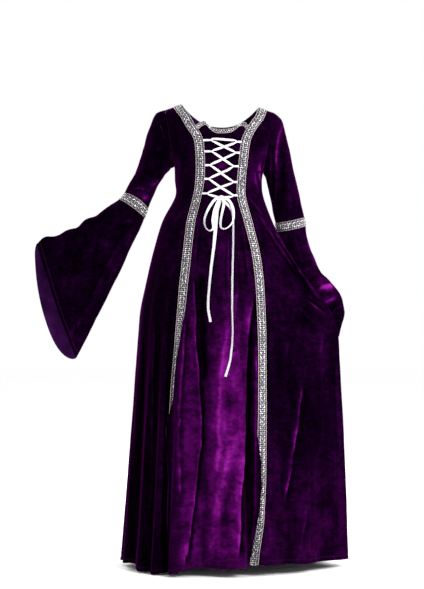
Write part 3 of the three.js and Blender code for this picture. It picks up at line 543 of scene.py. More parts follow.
CREASES = [
    # The skirt's great folds between the trims
    (FOLD_EDGE, (4.0, 20, 0.06), (-6.0, 7, -0.6)),
    (FOLD_EDGE, (0.8, 5, 0.3), (0.0, 2, 0.0)),
    (FOLD_BACK, (-4, 9, -0.36), (-4, 9, -0.36)),
    (SECOND_EDGE, (1.5, 12, 0.05), (-4.0, 7, -0.35)),
    (SECOND_EDGE, (0.8, 4, 0.34), (0.4, 3, 0.2)),
    (MIDDLE_LINE, (1.5, 9, 0.24), (1.5, 9, 0.16)),
    ([(-8, -938), (0, -1012), (-5, -1057), (-12, -1113)], (1.5, 10, 0.22), (-1.0, 12, 0.1)),
    (LOW_LINE, (1.2, 11, 0.16), (1.2, 8, 0.12)),
    ([(33, -1072), (24, -1146), (15, -1205), (0, -1258)], (-2.5, 9, -0.26), (-2.5, 15, -0.26)),
    ([(27, -844), (27, -882), (17, -930)], (-1.0, 16, -0.2), (-1.0, 20, -0.2)),
    (LAST_RIDGE, (3.0, 20, 0.06), (-5.5, 13, -0.7)),
    (LAST_RIDGE, (0.4, 9, 0.2), (0.2, 3, 0.2)),
    (SEAM_LINE, (1.4, 4, 0.34), (1.4, 4, 0.34)),
    ([(-36, -1249), (-15, -1246), (6, -1236)], (-0.9, 3, -0.2), (-0.9, 3, -0.2)),
    ([(23, -1234), (38, -1228), (53, -1221)], (-0.9, 3, -0.25), (-0.9, 3, -0.25)),
    ([(-102, -1281), (-105, -1325), (-108, -1363)], (1.5, 12, 0.22), (1.5, 12, 0.22)),
    ([(22, -380), (22, -466), (22, -547), (24, -605)], (-1.2, 7, -0.12), (1.0, 4, 0.3)),
    ([(58, -540), (48, -601), (43, -659)], (1.4, 10, 0.16), (-1.0, 10, -0.06)),
    ([(-60, -330), (-72, -450), (-76, -520)], (1.0, 8, 0.12), (-1.5, 9, -0.15)),
    ([(60, -340), (74, -440), (82, -540)], (-1.5, 9, -0.12), (1.2, 7, 0.14)),
    # The image-left side of the skirt: long quiet folds
    ([(-150, -560), (-158, -760), (-166, -1000), (-176, -1340)], (2.5, 9, 0.06), (-3.5, 9, -0.2)),
    ([(-194, -640), (-200, -822), (-200, -1117), (-214, -1330)], (2.5, 5, 0.24), (-3.0, 9, -0.2)),
    ([(-232, -700), (-238, -900), (-244, -1100), (-254, -1340)], (2.5, 6, 0.16), (-3.0, 9, -0.2)),
    ([(-262, -860), (-268, -1100), (-280, -1340)], (2.0, 6, 0.12), (-2.0, 7, -0.15)),
    # The held-out side: sharp slanting creases and softer ones
    (HELD_CREASE, (1.6, 9, 0.3), (-3.0, 12, -0.2)),
    (HELD_CREASE[:6], (1.2, 5, 0.34), (0.8, 3.5, 0.34)),
    ([(212, -1090), (204, -1125), (194, -1165)], (1.2, 6, 0.3), (-1.0, 6, 0.1)),
    ([(261, -1191), (252, -1250), (238, -1331)], (1.2, 5, 0.22), (-1.4, 10, -0.08)),
    ([(318, -675), (311, -715), (303, -754)], (1.4, 6, 0.2), (-1.2, 8, -0.05)),
    ([(213, -699), (201, -745), (188, -794)], (1.4, 9, 0.14), (-1.2, 9, -0.05)),
    ([(150, -600), (143, -760), (146, -900)], (-2.0, 10, -0.14), (1.5, 18, 0.02)),
    ([(345, -760), (352, -900), (358, -1060)], (-1.5, 14, -0.06), (1.2, 10, 0.1)),
    # Tension folds from the waist to where the skirt is held
    ([(83, -276), (107, -305), (129, -332)], (-1.8, 7, -0.15), (1.6, 4, 0.4)),
    ([(110, -322), (141, -372), (166, -408), (188, -440)], (-2.2, 7, -0.16), (1.8, 6, 0.2)),
    ([(137, -366), (164, -410), (194, -453), (226, -499)], (-3.5, 8, -0.28), (2.5, 6, 0.2)),
    (TENSION_LINE, (-5.0, 8, -0.35), (2.8, 9, 0.24)),
    ([(191, -458), (216, -490), (237, -517), (280, -571)], (-2.0, 12, -0.16), (-4.0, 6, -0.3)),
    ([(261, -582), (286, -601), (318, -623)], (3.0, 7, 0.5), (-4.5, 7, -0.4)),
    ([(225, -600), (262, -640), (300, -668)], (-2.0, 10, -0.1), (1.8, 8, 0.12)),
    # Bodice: bust and armpit pulls, and the drag lines above the waist
    ([(130, -163), (122, -179), (122, -203), (130, -246)], (1.4, 8, 0.5), (-2.0, 6, -0.1)),
    ([(105, -180), (111, -229), (122, -260)], (1.4, 8, 0.26), (-1.4, 8, -0.1)),
    ([(146, -110), (132, -140), (118, -152)], (1.2, 8, 0.26), (1.0, 9, 0.2)),
    ([(112, -120), (110, -160), (104, -190)], (0.8, 9, 0.1), (0.8, 9, 0.14)),
    ([(-132, -155), (-123, -179), (-126, -216)], (1.4, 7, 0.22), (1.2, 6, 0.26)),
    ([(-105, -181), (-111, -210), (-120, -236)], (-1.0, 6, -0.05), (1.0, 6, 0.14)),
    ([(-108, -293), (-125, -309), (-142, -325)], (1.6, 6, 0.14), (-1.6, 7, -0.08)),
    ([(-100, -312), (-124, -338), (-150, -366)], (1.6, 7, 0.12), (-1.8, 8, -0.08)),
    ([(-92, -345), (-112, -390), (-126, -450)], (1.4, 8, 0.08), (-1.8, 9, -0.08)),
]
# Patches of painted highlight (shine above 0) and painted shade (below 0) on the pile: place, half size and
# shine
PATCHES = table(
    "x z across down shine",
    (20, -1080, 46, 290, 0.36),
    (-20, -1180, 22, 200, 0.16),
    (-88, -1130, 26, 300, 0.2),
    (-100, -1180, 14, 200, 0.08),
    (-140, -1200, 20, 320, 0.02),
    (30, -760, 50, 170, 0.13),
    (-90, -700, 26, 220, 0.1),
    (0, -180, 12, 14, 0.2),
    (0, -200, 50, 130, 0.02),
    (85, -640, 16, 60, 0.14),
    (262, -1270, 90, 80, 0.02),
    (180, -1260, 30, 40, 0.1),
    (313, -1240, 30, 60, 0.06),
    (158, -1040, 26, 40, 0.07),
    (200, -900, 60, 110, -0.14),
    (255, -940, 24, 80, -0.06),
    (310, -900, 50, 190, -0.07),
    (300, -700, 30, 60, 0.05),
    (170, -1130, 20, 60, 0.07),
    (300, -1120, 30, 50, 0.05),
    (165, -1280, 24, 26, 0.04),
    (300, -1290, 22, 26, 0.08),
    (-230, -960, 15, 120, -0.2),
    (-244, -1150, 15, 120, -0.2),
    (-262, -1290, 14, 90, -0.2),
    (-66, -1275, 18, 70, 0.22),
    (16, -1262, 11, 60, -0.12),
    (235, -1330, 50, 20, 0.06),
    (-230, -900, 75, 480, -0.17),
    (-130, -80, 70, 80, -0.05),
    (110, -190, 20, 40, 0.1),
    (128, -90, 22, 60, -0.05),
    (372, -1180, 12, 140, 0.1),
    (-156, -1200, 7, 300, -0.2),
)
# The back hangs plainly: pulls across the waist and armholes, then long folds to the hem, each with painted
# highlight on one side and painted shade on the other
BACK_CREASES = [
    ([(-95, -256), (-60, -268), (-20, -262)], (1.8, 7, 0.2), (-1.8, 8, -0.12)),
    ([(100, -268), (60, -281), (15, -274)], (1.8, 7, 0.2), (-1.8, 8, -0.12)),
    ([(-84, -300), (-40, -314), (5, -306)], (1.8, 8, 0.16), (-1.8, 8, -0.1)),
    ([(85, -232), (45, -243), (6, -238)], (1.4, 7, 0.14), (-1.4, 8, -0.1)),
    ([(-110, -332), (-70, -348), (-26, -342)], (1.8, 9, 0.14), (-1.8, 9, -0.1)),
    ([(112, -322), (76, -336), (40, -333)], (1.8, 9, 0.14), (-1.8, 9, -0.1)),
    ([(-124, -150), (-98, -122), (-70, -106)], (1.6, 8, 0.16), (-1.6, 9, -0.1)),
    ([(118, -158), (92, -128), (66, -112)], (1.6, 8, 0.16), (-1.6, 9, -0.1)),
    ([(-60, -372), (-58, -440), (-62, -520)], (1.4, 8, 0.14), (-1.6, 9, -0.1)),
    ([(30, -360), (34, -450), (38, -540)], (1.4, 8, 0.14), (-1.6, 9, -0.1)),
    ([(128, -480), (148, -800), (168, -1100), (184, -1370)], (2.0, 17, 0.26), (-3.0, 12, -0.26)),
    ([(42, -450), (50, -800), (57, -1100), (60, -1370)], (2.0, 16, 0.3), (-3.0, 12, -0.28)),
    ([(-48, -460), (-57, -800), (-66, -1100), (-74, -1370)], (2.0, 18, 0.24), (-3.0, 12, -0.26)),
    ([(-130, -480), (-152, -800), (-172, -1100), (-188, -1370)], (2.0, 16, 0.28), (-3.0, 12, -0.26)),
    ([(-185, -560), (-216, -800), (-244, -1100), (-262, -1370)], (2.0, 14, 0.2), (-2.5, 10, -0.2)),
    ([(205, -620), (240, -800), (258, -1100), (276, -1370)], (2.0, 14, 0.22), (-2.5, 10, -0.2)),
    ([(8, -640), (4, -900), (-6, -1200)], (1.2, 10, 0.14), (-1.5, 10, -0.14)),
    ([(98, -700), (108, -950), (116, -1250)], (1.2, 10, 0.14), (-1.5, 10, -0.14)),
    ([(-100, -720), (-112, -980), (-124, -1260)], (1.2, 10, 0.14), (-1.5, 10, -0.14)),
]
# Patches of painted highlight on the back: place, half size and shine
BACK_PATCHES = table(
    "x z across down shine",
    (60, -1100, 60, 280, 0.16),
    (-120, -1160, 46, 260, 0.14),
    (210, -1200, 40, 240, 0.1),
    (-240, -1180, 30, 240, 0.08),
    (10, -620, 110, 130, 0.06),
    (-62, -130, 40, 60, 0.08),
    (64, -134, 40, 60, 0.08),
)
CREASE_TAPER = 40.0  # length over which a crease dies out at its ends
CREASE_WANDER = 2.2
CREASE_RAGGED = 0.5
CREASE_TURN = 4.4  # width over which one side of a crease turns into the other


def nearest_on(route, x, z):
    """How far points lie from a route, signed by side and plain, how far along it, and its length."""
    travelled = run_along(route)
    best = np.full_like(x, 1e9)
    across = np.zeros_like(x)
    along = np.zeros_like(x)
    for start, end, before in zip(route[:-1], route[1:], travelled):
        length = np.linalg.norm(end - start)
        dx, dz = (end - start) / length
        px = x - start[0]
        pz = z - start[1]
        t = np.clip(px * dx + pz * dz, 0, length)
        off = np.hypot(px - t * dx, pz - t * dz)
        nearer = off < best
        best = np.where(nearer, off, best)
        across = np.where(nearer, pz * dx - px * dz, across)
        along = np.where(nearer, before + t, along)
    return np.sign(across) * best, best, along, travelled[-1]


def crease_fields(points, creases):
    """The creases' height, and their shine of painted highlight and shade, at points, by their distance
    across and along each route.
    """
    x = points[..., 0]
    z = points[..., 2]
    high = np.zeros_like(x)
    shine = np.zeros_like(x)
    wander = noise(points, (16, 16, 34), 8) * CREASE_WANDER
    ragged = 1 + CREASE_RAGGED * noise(points, (9, 9, 26), 9)
    for route, left, right in creases:
        across, off, along, length = nearest_on(np.array(route, float), x, z)
        near = off < 4 * max(left[1], right[1])
        taper = min(CREASE_TAPER, length / 2.5)
        ends = smooth(along / taper + 0.1) * smooth((length - along) / taper + 0.1) * near
        across = across + wander * np.clip(left[1] / 8, 0.4, 1.2)
        turn = smooth(across / CREASE_TURN + 0.5)
        bells = [np.exp(-((across / side[1]) ** 2)) * ends for side in (left, right)]
        high += mix(left[0] * bells[0], right[0] * bells[1], turn)
        shine += mix(left[2] * bells[0], right[2] * bells[1], turn) * ragged
    return high, shine


PILE_SHINE = 0.22  # how crushed the pile is where nothing else says


def pile_and_painted_light(points, facing, patches):
    """How crushed the pile is from drifting mottling, with patches of painted highlight and painted shade
    laid on it.
    """
    x = points[..., 0]
    z = points[..., 2]
    shine = np.full_like(x, PILE_SHINE)
    for px, pz, across, down, value in zip(*patches.values()):
        shine += facing * value * np.exp(-0.5 * (((x - px) / across) ** 2 + ((z - pz) / down) ** 2))
    streaks = noise(points, (9, 9, 90), 1) * 0.06 + noise(points, (34, 34, 60), 2) * 0.1
    blots = noise(points, (22, 22, 13), 3) * 0.09 + noise(points, (9, 9, 6), 4) * 0.07
    return shine + (streaks + blots) * (0.85 + 0.5 * np.clip(shine, 0, 0.8))


def crumple(points):
    """Fine unevenness of the hanging cloth, as a height."""
    return noise(points, (18, 18, 110), 5) * 0.7 + noise(points, (9, 9, 26), 6) * 0.28


# Meshes


def new_mesh_object(name, points, faces, materials, face_material=None, point_values=None, uv=None):
    """A smooth mesh at the origin from points in millimetres, with its attributes and UV map."""
    mesh = bpy.data.meshes.new(name)
    mesh.from_pydata((np.asarray(points) * MM).tolist(), [], np.asarray(faces).tolist())
    for material in materials:
        mesh.materials.append(material)
    if face_material is not None:
        mesh.polygons.foreach_set("material_index", np.asarray(face_material, np.int32))
    for key, values in (point_values or {}).items():
        attribute = mesh.attributes.new(key, "FLOAT", "POINT")
        attribute.data.foreach_set("value", np.asarray(values, np.float32))
    if uv is not None:
        layer = mesh.uv_layers.new(name="UVMap")
        corners = np.empty(len(mesh.loops), np.int32)
        mesh.loops.foreach_get("vertex_index", corners)
        layer.data.foreach_set("uv", np.asarray(uv, np.float32)[corners].ravel())
    mesh.shade_smooth()
    return add_object(name, mesh)


def apply_modifier(thing, modifier):
    """Makes what a modifier gives the object's own plain mesh."""
    graph = bpy.context.evaluated_depsgraph_get()
    result = bpy.data.meshes.new_from_object(thing.evaluated_get(graph))
    thing.modifiers.remove(modifier)
    thing.data = result
    return result


def volume_of(points, quads):
    a, b, c, d = (points[quads[:, n]] for n in range(4))
    first = np.einsum("ij,ij->i", a, np.cross(b, c)).sum()
    return first + np.einsum("ij,ij->i", a, np.cross(c, d)).sum()


def grid_faces(rows, columns, start, ring):
    r, c = np.meshgrid(np.arange(rows - 1), np.arange(columns if ring else columns - 1), indexing="ij")
    above = start + r.ravel() * columns
    below = above + columns
    here = c.ravel()
    after = (here + 1) % columns
    return np.stack([above + here, below + here, below + after, above + after], 1)


def shell(name, outer, inner, materials, ring=False, values=None, uv=None):
    """A closed thin shell between two grids of points; the inner face takes the last material."""
    rows, columns = outer.shape[:2]
    count = rows * columns
    points = np.concatenate([outer.reshape(-1, 3), inner.reshape(-1, 3)])
    index = np.arange(count).reshape(rows, columns)
    out_faces = grid_faces(rows, columns, 0, ring)
    in_faces = grid_faces(rows, columns, count, ring)[:, ::-1]
    if ring:
        edges = [(np.append(index[n], index[n][0]), n == -1) for n in (0, -1)]
    else:
        edges = [(index[0], False), (index[-1], True), (index[:, 0], True), (index[:, -1], False)]
    rims = []
    for line, turned in edges:
        strip = np.stack([line[:-1], line[1:], line[1:] + count, line[:-1] + count], 1)
        rims.append(strip[:, ::-1] if turned else strip)
    faces = np.concatenate([out_faces, in_faces, *rims])
    if volume_of(points, faces) < 0:
        faces = faces[:, ::-1]
    which = np.zeros(len(faces), int)
    which[len(out_faces) : len(out_faces) + len(in_faces)] = len(materials) - 1
    both = {key: np.concatenate([v.ravel(), v.ravel()]) for key, v in (values or {}).items()}
    maps = None if uv is None else np.concatenate([uv.reshape(-1, 2)] * 2)
    return new_mesh_object(name, points, faces, materials, which, both, maps)


def grid_uv(grid):
    """Real lengths across and along a grid of points, in metres."""
    across = np.linalg.norm(np.diff(grid, axis=1), axis=-1)
    along = np.linalg.norm(np.diff(grid, axis=0), axis=-1)
    u = np.concatenate([np.zeros((grid.shape[0], 1)), np.cumsum(across, axis=1)], 1)
    v = np.concatenate([np.zeros((1, grid.shape[1])), np.cumsum(along, axis=0)], 0)
    return np.stack([u, v], -1) * MM


# Materials


def new_material(name, color, roughness):
    """A material with its shader's plain values set; returns it with its tree and shader."""
    material = bpy.data.materials.new(name)
    material.use_nodes = True
    tree = material.node_tree
    shader = tree.nodes["Principled BSDF"]
    set_shader(shader, base_color=(*color, 1), roughness=roughness)
    return material, tree, shader


def set_shader(shader, **values):
    """Plain values on a shader's sockets, named as the sockets are, in small letters."""
    sockets = {socket.name.lower().replace(" ", "_"): socket for socket in shader.inputs}
    for name, value in values.items():
        sockets[name].default_value = value


def node(tree, kind, **settings):
    made = tree.nodes.new(kind)
    for key, value in settings.items():
        if key in made.inputs:
            made.inputs[key].default_value = value
        else:
            setattr(made, key, value)
    return made


def object_place(tree, scale=(1, 1, 1)):
    """Object coordinates, stretched."""
    place = node(tree, "ShaderNodeTexCoord")
    mapping = node(tree, "ShaderNodeMapping")
    mapping.inputs["Scale"].default_value = scale
    tree.links.new(place.outputs["Object"], mapping.inputs["Vector"])
    return mapping.outputs["Vector"]


def noise_texture(tree, place, scale, detail=2.0, roughness=0.5):
    made = node(tree, "ShaderNodeTexNoise", Scale=scale, Detail=detail, Roughness=roughness)
    tree.links.new(place, made.inputs["Vector"])
    return made.outputs["Fac"]


def maths(tree, operation, a, b):
    made = node(tree, "ShaderNodeMath", operation=operation)
    for socket, value in zip(made.inputs, (a, b)):
        if isinstance(value, (int, float)):
            socket.default_value = value
        else:
            tree.links.new(value, socket)
    return made.outputs[0]


def color_ramp(tree, shader, factor, stops):
    """The shader's colour by a factor, from stops of place and colour."""
    made = node(tree, "ShaderNodeValToRGB")
    elements = made.color_ramp.elements
    while len(elements) < len(stops):
        elements.new(0.5)
    for element, (place, color) in zip(elements, stops):
        element.position = place
        element.color = (*color, 1)
    tree.links.new(factor, made.inputs["Fac"])
    tree.links.new(made.outputs["Color"], shader.inputs["Base Color"])


def bands(tree, place, **settings):
    """A wave texture's stripes."""
    made = node(tree, "ShaderNodeTexWave", **settings)
    tree.links.new(place, made.inputs["Vector"])
    return made.outputs["Fac"]


def bump(tree, shader, height, distance, strength=1.0, after=None):
    made = node(tree, "ShaderNodeBump", Strength=strength, Distance=distance)
    tree.links.new(height, made.inputs["Height"])
    if after is not None:
        tree.links.new(after, made.inputs["Normal"])
    tree.links.new(made.outputs["Normal"], shader.inputs["Normal"])
    return made.outputs["Normal"]


# The pile's colour by its factor, from painted shade and lying dark pile up to crushed flat pile and painted
# highlight
PILE_COLORS = [
    (0.0, (0.0006, 0.0, 0.0009)),
    (0.2, (0.0028, 0.0001, 0.0042)),
    (0.42, (0.012, 0.0003, 0.0155)),
    (0.66, (0.048, 0.001, 0.055)),
    (0.85, (0.12, 0.004, 0.128)),
    (1.0, (0.2, 0.01, 0.205)),
]


def velvet_material():
    """Crushed velvet: dark pile, magenta where it is crushed flat or seen edge on; its colour attribute also
    carries painted highlight and painted shade.
    """
    material, tree, shader = new_material("crushed_velvet", (0.03, 0.0, 0.04), 0.5)
    crush_and_painted_light = node(tree, "ShaderNodeAttribute", attribute_name="crush_and_painted_light").outputs["Fac"]
    mottle = noise_texture(tree, object_place(tree, (0.7, 0.7, 1.3)), 95, 4, 0.65)
    fine = noise_texture(tree, object_place(tree), 420, 2, 0.5)
    drift = maths(tree, "MULTIPLY", maths(tree, "SUBTRACT", mottle, 0.5), 0.42)
    flecks = maths(tree, "MULTIPLY", maths(tree, "SUBTRACT", fine, 0.5), 0.16)
    factor = maths(tree, "ADD", maths(tree, "ADD", crush_and_painted_light, drift), flecks)
    color_ramp(tree, shader, factor, PILE_COLORS)
    set_shader(shader, sheen_weight=0.14, sheen_roughness=0.35, sheen_tint=(0.5, 0.006, 0.56, 1))
    set_shader(shader, specular_ior_level=0.0)
    pile = noise_texture(tree, object_place(tree), 1500, 2, 0.6)
    dents = noise_texture(tree, object_place(tree, (1, 1, 0.6)), 120, 3, 0.55)
    first = bump(tree, shader, dents, 0.0016, 0.7)
    bump(tree, shader, pile, 0.0003, 0.5, first)
    return material


def backing_material():
    """The velvet's plain knitted back, duller and a little lighter."""
    material, tree, shader = new_material("velvet_backing", (0.03, 0.006, 0.05), 0.85)
    place = object_place(tree)
    clouds = noise_texture(tree, place, 24, 4, 0.6)
    color_ramp(tree, shader, clouds, [(0.3, (0.012, 0.001, 0.022)), (0.7, (0.045, 0.005, 0.068))])
    set_shader(shader, sheen_weight=0.06, sheen_tint=(0.6, 0.2, 0.8, 1), specular_ior_level=0.02)
    bump(tree, shader, bands(tree, place, Scale=700.0, Distortion=0.6), 0.0002, 0.5)
    return material


def satin_material():
    """White satin ribbon with its fine weft."""
    material, tree, shader = new_material("satin_ribbon", (0.8, 0.79, 0.83), 0.36)
    clouds = noise_texture(tree, object_place(tree), 260, 2)
    color_ramp(tree, shader, clouds, [(0.25, (0.58, 0.565, 0.61)), (0.7, (0.74, 0.73, 0.76))])
    set_shader(shader, sheen_weight=0.2, anisotropic=0.5)
    uv = node(tree, "ShaderNodeTexCoord").outputs["UV"]
    bump(tree, shader, bands(tree, uv, Scale=900.0, bands_direction="Y"), 0.00015, 0.35)
    return material


def woven_material(name, low, high, metal, roughness, patchy):
    """A metallic woven ground: fine crossing threads between two colours."""
    material, tree, shader = new_material(name, high, roughness)
    uv = node(tree, "ShaderNodeTexCoord").outputs["UV"]
    threads = bands(tree, uv, Scale=260.0, Distortion=1.5, bands_direction="X")
    picks = bands(tree, uv, Scale=330.0, Distortion=1.5, bands_direction="Y")
    weave = maths(tree, "MULTIPLY", threads, picks)
    specks = noise_texture(tree, object_place(tree), patchy, 3, 0.7)
    parts = [maths(tree, "MULTIPLY", part, share) for part, share in ((weave, 0.2), (specks, 0.9))]
    color_ramp(tree, shader, maths(tree, "ADD", *parts), [(0.38, low), (0.58, high)])
    set_shader(shader, metallic=metal)
    bump(tree, shader, weave, 0.0004, 0.6)
    return material


def thread_material(name, color, roughness, metal=0.0, glint=0.5):
    """Twisted sewing or metal thread."""
    material, tree, shader = new_material(name, color, roughness)
    set_shader(shader, metallic=metal, specular_ior_level=glint)
    twist = noise_texture(tree, object_place(tree), 2200, 2)
    color_ramp(tree, shader, twist, [(0.3, [0.55 * c for c in color]), (0.65, color)])
    bump(tree, shader, twist, 0.0002, 0.5)
    return material


VELVET = velvet_material()
BACKING = backing_material()
CLOTH_SIDES = [VELVET, BACKING]
SATIN = satin_material()
DARK_WEAVE = ((0.001, 0.001, 0.002), (0.012, 0.01, 0.016))
PALE_WEAVE = ((0.1, 0.085, 0.13), (0.98, 0.93, 1.0))
BRAID_GROUND = woven_material("braid_ground", *DARK_WEAVE, metal=0.0, roughness=0.7, patchy=620)
BRAID_SCROLL = woven_material("braid_scroll", *PALE_WEAVE, metal=0.15, roughness=0.42, patchy=170)
BRAID_EDGE = thread_material("braid_edge", (0.62, 0.57, 0.5), 0.4, 0.4)
BRAID_GOLD = thread_material("braid_gold", (0.62, 0.54, 0.36), 0.42, 0.6)
PURPLE_THREAD = thread_material("purple_thread", (0.04, 0.004, 0.05), 0.8, glint=0.05)


def keep(piece, slot_name, *nodes):
    """A finished piece: it rides on the gown and stands for its nodes; the slot name is not used."""
    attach(piece, "root")
    if nodes:
        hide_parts(*nodes)


# Small shapes strewn along lines, and stitches


COPY_SIZES = {"Length": "X", "Width": "Y", "Height": "Z"}


def copy_shape(tree, shape):
    """The small shape that is strewn, one across: a leaf, a bead or a rod along X."""
    if shape == "leaf":
        return node(tree, "GeometryNodeMeshUVSphere", Segments=7, Rings=4, Radius=0.5).outputs["Mesh"]
    if shape == "bead":
        return node(tree, "GeometryNodeMeshIcoSphere", Radius=0.5, Subdivisions=1).outputs["Mesh"]
    rod = node(tree, "GeometryNodeMeshCylinder", Vertices=6, Radius=0.5, Depth=1.0)
    turned = node(tree, "GeometryNodeTransform", Rotation=(0, math.pi / 2, 0))
    tree.links.new(rod.outputs["Mesh"], turned.inputs["Geometry"])
    return turned.outputs["Geometry"]


def copies_tree(name, shape, material):
    """A node tree that puts a shape on points by their attributes, with its size as named inputs."""
    tree = bpy.data.node_groups.new(f"{name}_copies", "GeometryNodeTree")
    tree.interface.new_socket("Points", in_out="INPUT", socket_type="NodeSocketGeometry")
    keys = [
        tree.interface.new_socket(key, in_out="INPUT", socket_type="NodeSocketFloat").identifier
        for key in COPY_SIZES
    ]
    tree.interface.new_socket("Copies", in_out="OUTPUT", socket_type="NodeSocketGeometry")
    link = tree.links.new
    start = node(tree, "NodeGroupInput")
    end = node(tree, "NodeGroupOutput")
    reads = [
        node(tree, "GeometryNodeInputNamedAttribute", data_type="FLOAT_VECTOR", Name=key).outputs["Attribute"]
        for key in ("along", "out")
    ]
    stand = node(tree, "FunctionNodeAlignRotationToVector", axis="Z")
    link(reads[1], stand.inputs["Vector"])
    face = node(tree, "FunctionNodeAlignRotationToVector", axis="X", pivot_axis="Z")
    link(stand.outputs["Rotation"], face.inputs["Rotation"])
    link(reads[0], face.inputs["Vector"])
    scale = node(tree, "ShaderNodeCombineXYZ")
    for key, axis in COPY_SIZES.items():
        link(start.outputs[key], scale.inputs[axis])
    copies = node(tree, "GeometryNodeInstanceOnPoints")
    link(start.outputs["Points"], copies.inputs["Points"])
    link(copy_shape(tree, shape), copies.inputs["Instance"])
    link(face.outputs["Rotation"], copies.inputs["Rotation"])
    link(scale.outputs["Vector"], copies.inputs["Scale"])
    real = node(tree, "GeometryNodeRealizeInstances")
    link(copies.outputs["Instances"], real.inputs["Geometry"])
    finish = node(tree, "GeometryNodeSetMaterial", Material=material)
    link(real.outputs["Geometry"], finish.inputs["Geometry"])
    link(finish.outputs["Geometry"], end.inputs["Copies"])
    return tree, keys


def strewn(name, points, along, out, size, shape, material):
    """Copies of one small shape at points, its X along and its Z out, as a plain mesh."""
    mesh = bpy.data.meshes.new(name)
    mesh.from_pydata((points * MM).tolist(), [], [])
    for key, values in (("along", along), ("out", out)):
        attribute = mesh.attributes.new(key, "FLOAT_VECTOR", "POINT")
        attribute.data.foreach_set("vector", np.asarray(values, np.float32).ravel())
    thing = add_object(name, mesh)
    modifier = thing.modifiers.new("copies", "NODES")
    modifier.node_group, keys = copies_tree(name, shape, material)
    for key, value in zip(keys, size):
        modifier[key] = value * MM
    apply_modifier(thing, modifier).shade_smooth()
    bpy.data.meshes.remove(mesh)
    return thing


STITCH_STEP = 3.6
STITCH_SIZE = (2.7, 0.6, 0.5)
STITCH_LIFT = 0.05
HEM_ROWS = (11.0, 13.4)  # heights of the hem's two stitched lines
NECK_STITCH = 7.0  # how far below the back's neck edge its stitched line runs


def stitches(name, grid, normals, depth):
    """A row of stitches across a grid of points, a length in from its first row."""
    line = []
    out = []
    for c in range(grid.shape[1]):
        run = run_along(grid[:, c])
        line.append(read_along(depth, run, grid[:, c]))
        out.append(unit(read_along(depth, run, normals[:, c])))
    line = np.array(line)
    run = run_along(line)
    at = np.linspace(0, run[-1], max(2, int(run[-1] / STITCH_STEP)))
    spots = read_along(at, run, line)
    ways = unit(read_along(at, run, np.array(out)))
    along = along_of(spots)
    spots = spots + ways * STITCH_LIFT
    piece = strewn(f"{name}_stitches", spots, along, ways, STITCH_SIZE, "rod", PURPLE_THREAD)
    keep(piece, "velvet")


def sew_hem(name, grid, normals, ring=False):
    """Two stitched lines round a hem, a little above its edge."""
    columns = list(range(grid.shape[1])) + [0] * ring
    for n, height in enumerate(HEM_ROWS):
        stitches(f"{name}_hem_{n + 1}", grid[::-1, columns], normals[::-1, columns], height)


# Cloth panels


SKIRT_ROWS = 205
BACK_ROWS = 190
HEM_BAND = 12.0  # height of the turned hem
HEM_SINK = 0.8  # how far its stitched line pulls in
# Painted highlight along the hem's turned band
HEM_PAINTED_HIGHLIGHT = 0.1
SEAM_SINK = 1.1  # how far the cloth dips into a seam
SEAM_REACH = 4.5
# Painted highlight on the folds' ridges and painted shade in their grooves, for a millimetre of fold: on what
# faces forward or back, and at the sides
RIDGE_LIGHT_AND_SHADE = (0.009, 0.013)
RIDGE_LEAST = -14
RIDGE_MOST = 16
CALM = 0.25  # share of the creases' height that is left at the shoulders


def lower_levels(rows=SKIRT_ROWS):
    return level_of_height(np.linspace(ARMPIT_Z, HEM_Z, rows))


def hem_line_sink(points, bottom):
    """The dent along the hem's stitched line and the thicker band under it, as a height."""
    above = points[..., 2] - bottom[..., 2]
    dent = -HEM_SINK * np.exp(-(((above - HEM_BAND) / 2.2) ** 2))
    return dent + 0.5 * smooth((HEM_BAND - above) / 5)


def grid_normals(grid, like):
    """Normals of a grid of points, facing mostly as another set does."""
    normals = unit(np.cross(np.gradient(grid, axis=0), np.gradient(grid, axis=1)))
    return normals if (normals * like).sum() > 0 else -normals


def cloth_panel(name, theta, level, half, seams=(), armhole=(), fold_over=None):
    """One panel of the gown as a thin velvet shell with its hem sewn; returns its grid and normals."""
    points = gown(theta, level, half)
    normals = gown_normal(theta, level, half)
    if fold_over:
        points = fold_over(points, theta, level)
        normals = grid_normals(points, normals)
    facing = smooth(half * normals[..., 1] * 2.5 + 0.2)
    creases, patches = (CREASES, PATCHES) if half < 0 else (BACK_CREASES, BACK_PATCHES)
    ridge = fold_at(theta, points[..., 2])[0] * smooth((level - 1) / 2)
    calm = mix(CALM, 1.0, smooth((level - 1.2) / 2))
    high, shine = crease_fields(points, creases)
    height = (high * facing + crumple(points)) * calm + hem_line_sink(points, points[-1:])
    for edge in seams:
        off = np.linalg.norm(points - points[:, edge : edge + 1 or None], axis=-1)
        height = height - SEAM_SINK * np.exp(-((off / SEAM_REACH) ** 2)) * smooth((level - 1) * 3)
    grid = points + normals * height[..., None]
    # The colour factor: the pile's crush, with painted highlight and shade from patches and creases, from the
    # folds' ridges and grooves, and along the hem's band
    crush_and_painted_light = pile_and_painted_light(points, facing, patches) + shine * facing
    crush_and_painted_light = crush_and_painted_light + np.clip(ridge, RIDGE_LEAST, RIDGE_MOST) * mix(RIDGE_LIGHT_AND_SHADE[1], RIDGE_LIGHT_AND_SHADE[0], facing)
    crush_and_painted_light = crush_and_painted_light + HEM_PAINTED_HIGHLIGHT * smooth((points[-1:, :, 2] + 0.6 * HEM_BAND - points[..., 2]) / 4)
    inner_normals = normals.copy()
    for edge, center in armhole:
        above = level[:, edge] < 1
        inner_normals[above, edge] = unit(grid[above, edge] - center)
    inner = grid - inner_normals * CLOTH
    piece = shell(f"{name}_velvet", grid, inner, CLOTH_SIDES, values={"crush_and_painted_light": crush_and_painted_light}, uv=grid_uv(grid))
    keep(piece, "velvet", name)
    sew_hem(name, grid, normals)
    return piece, grid, normals


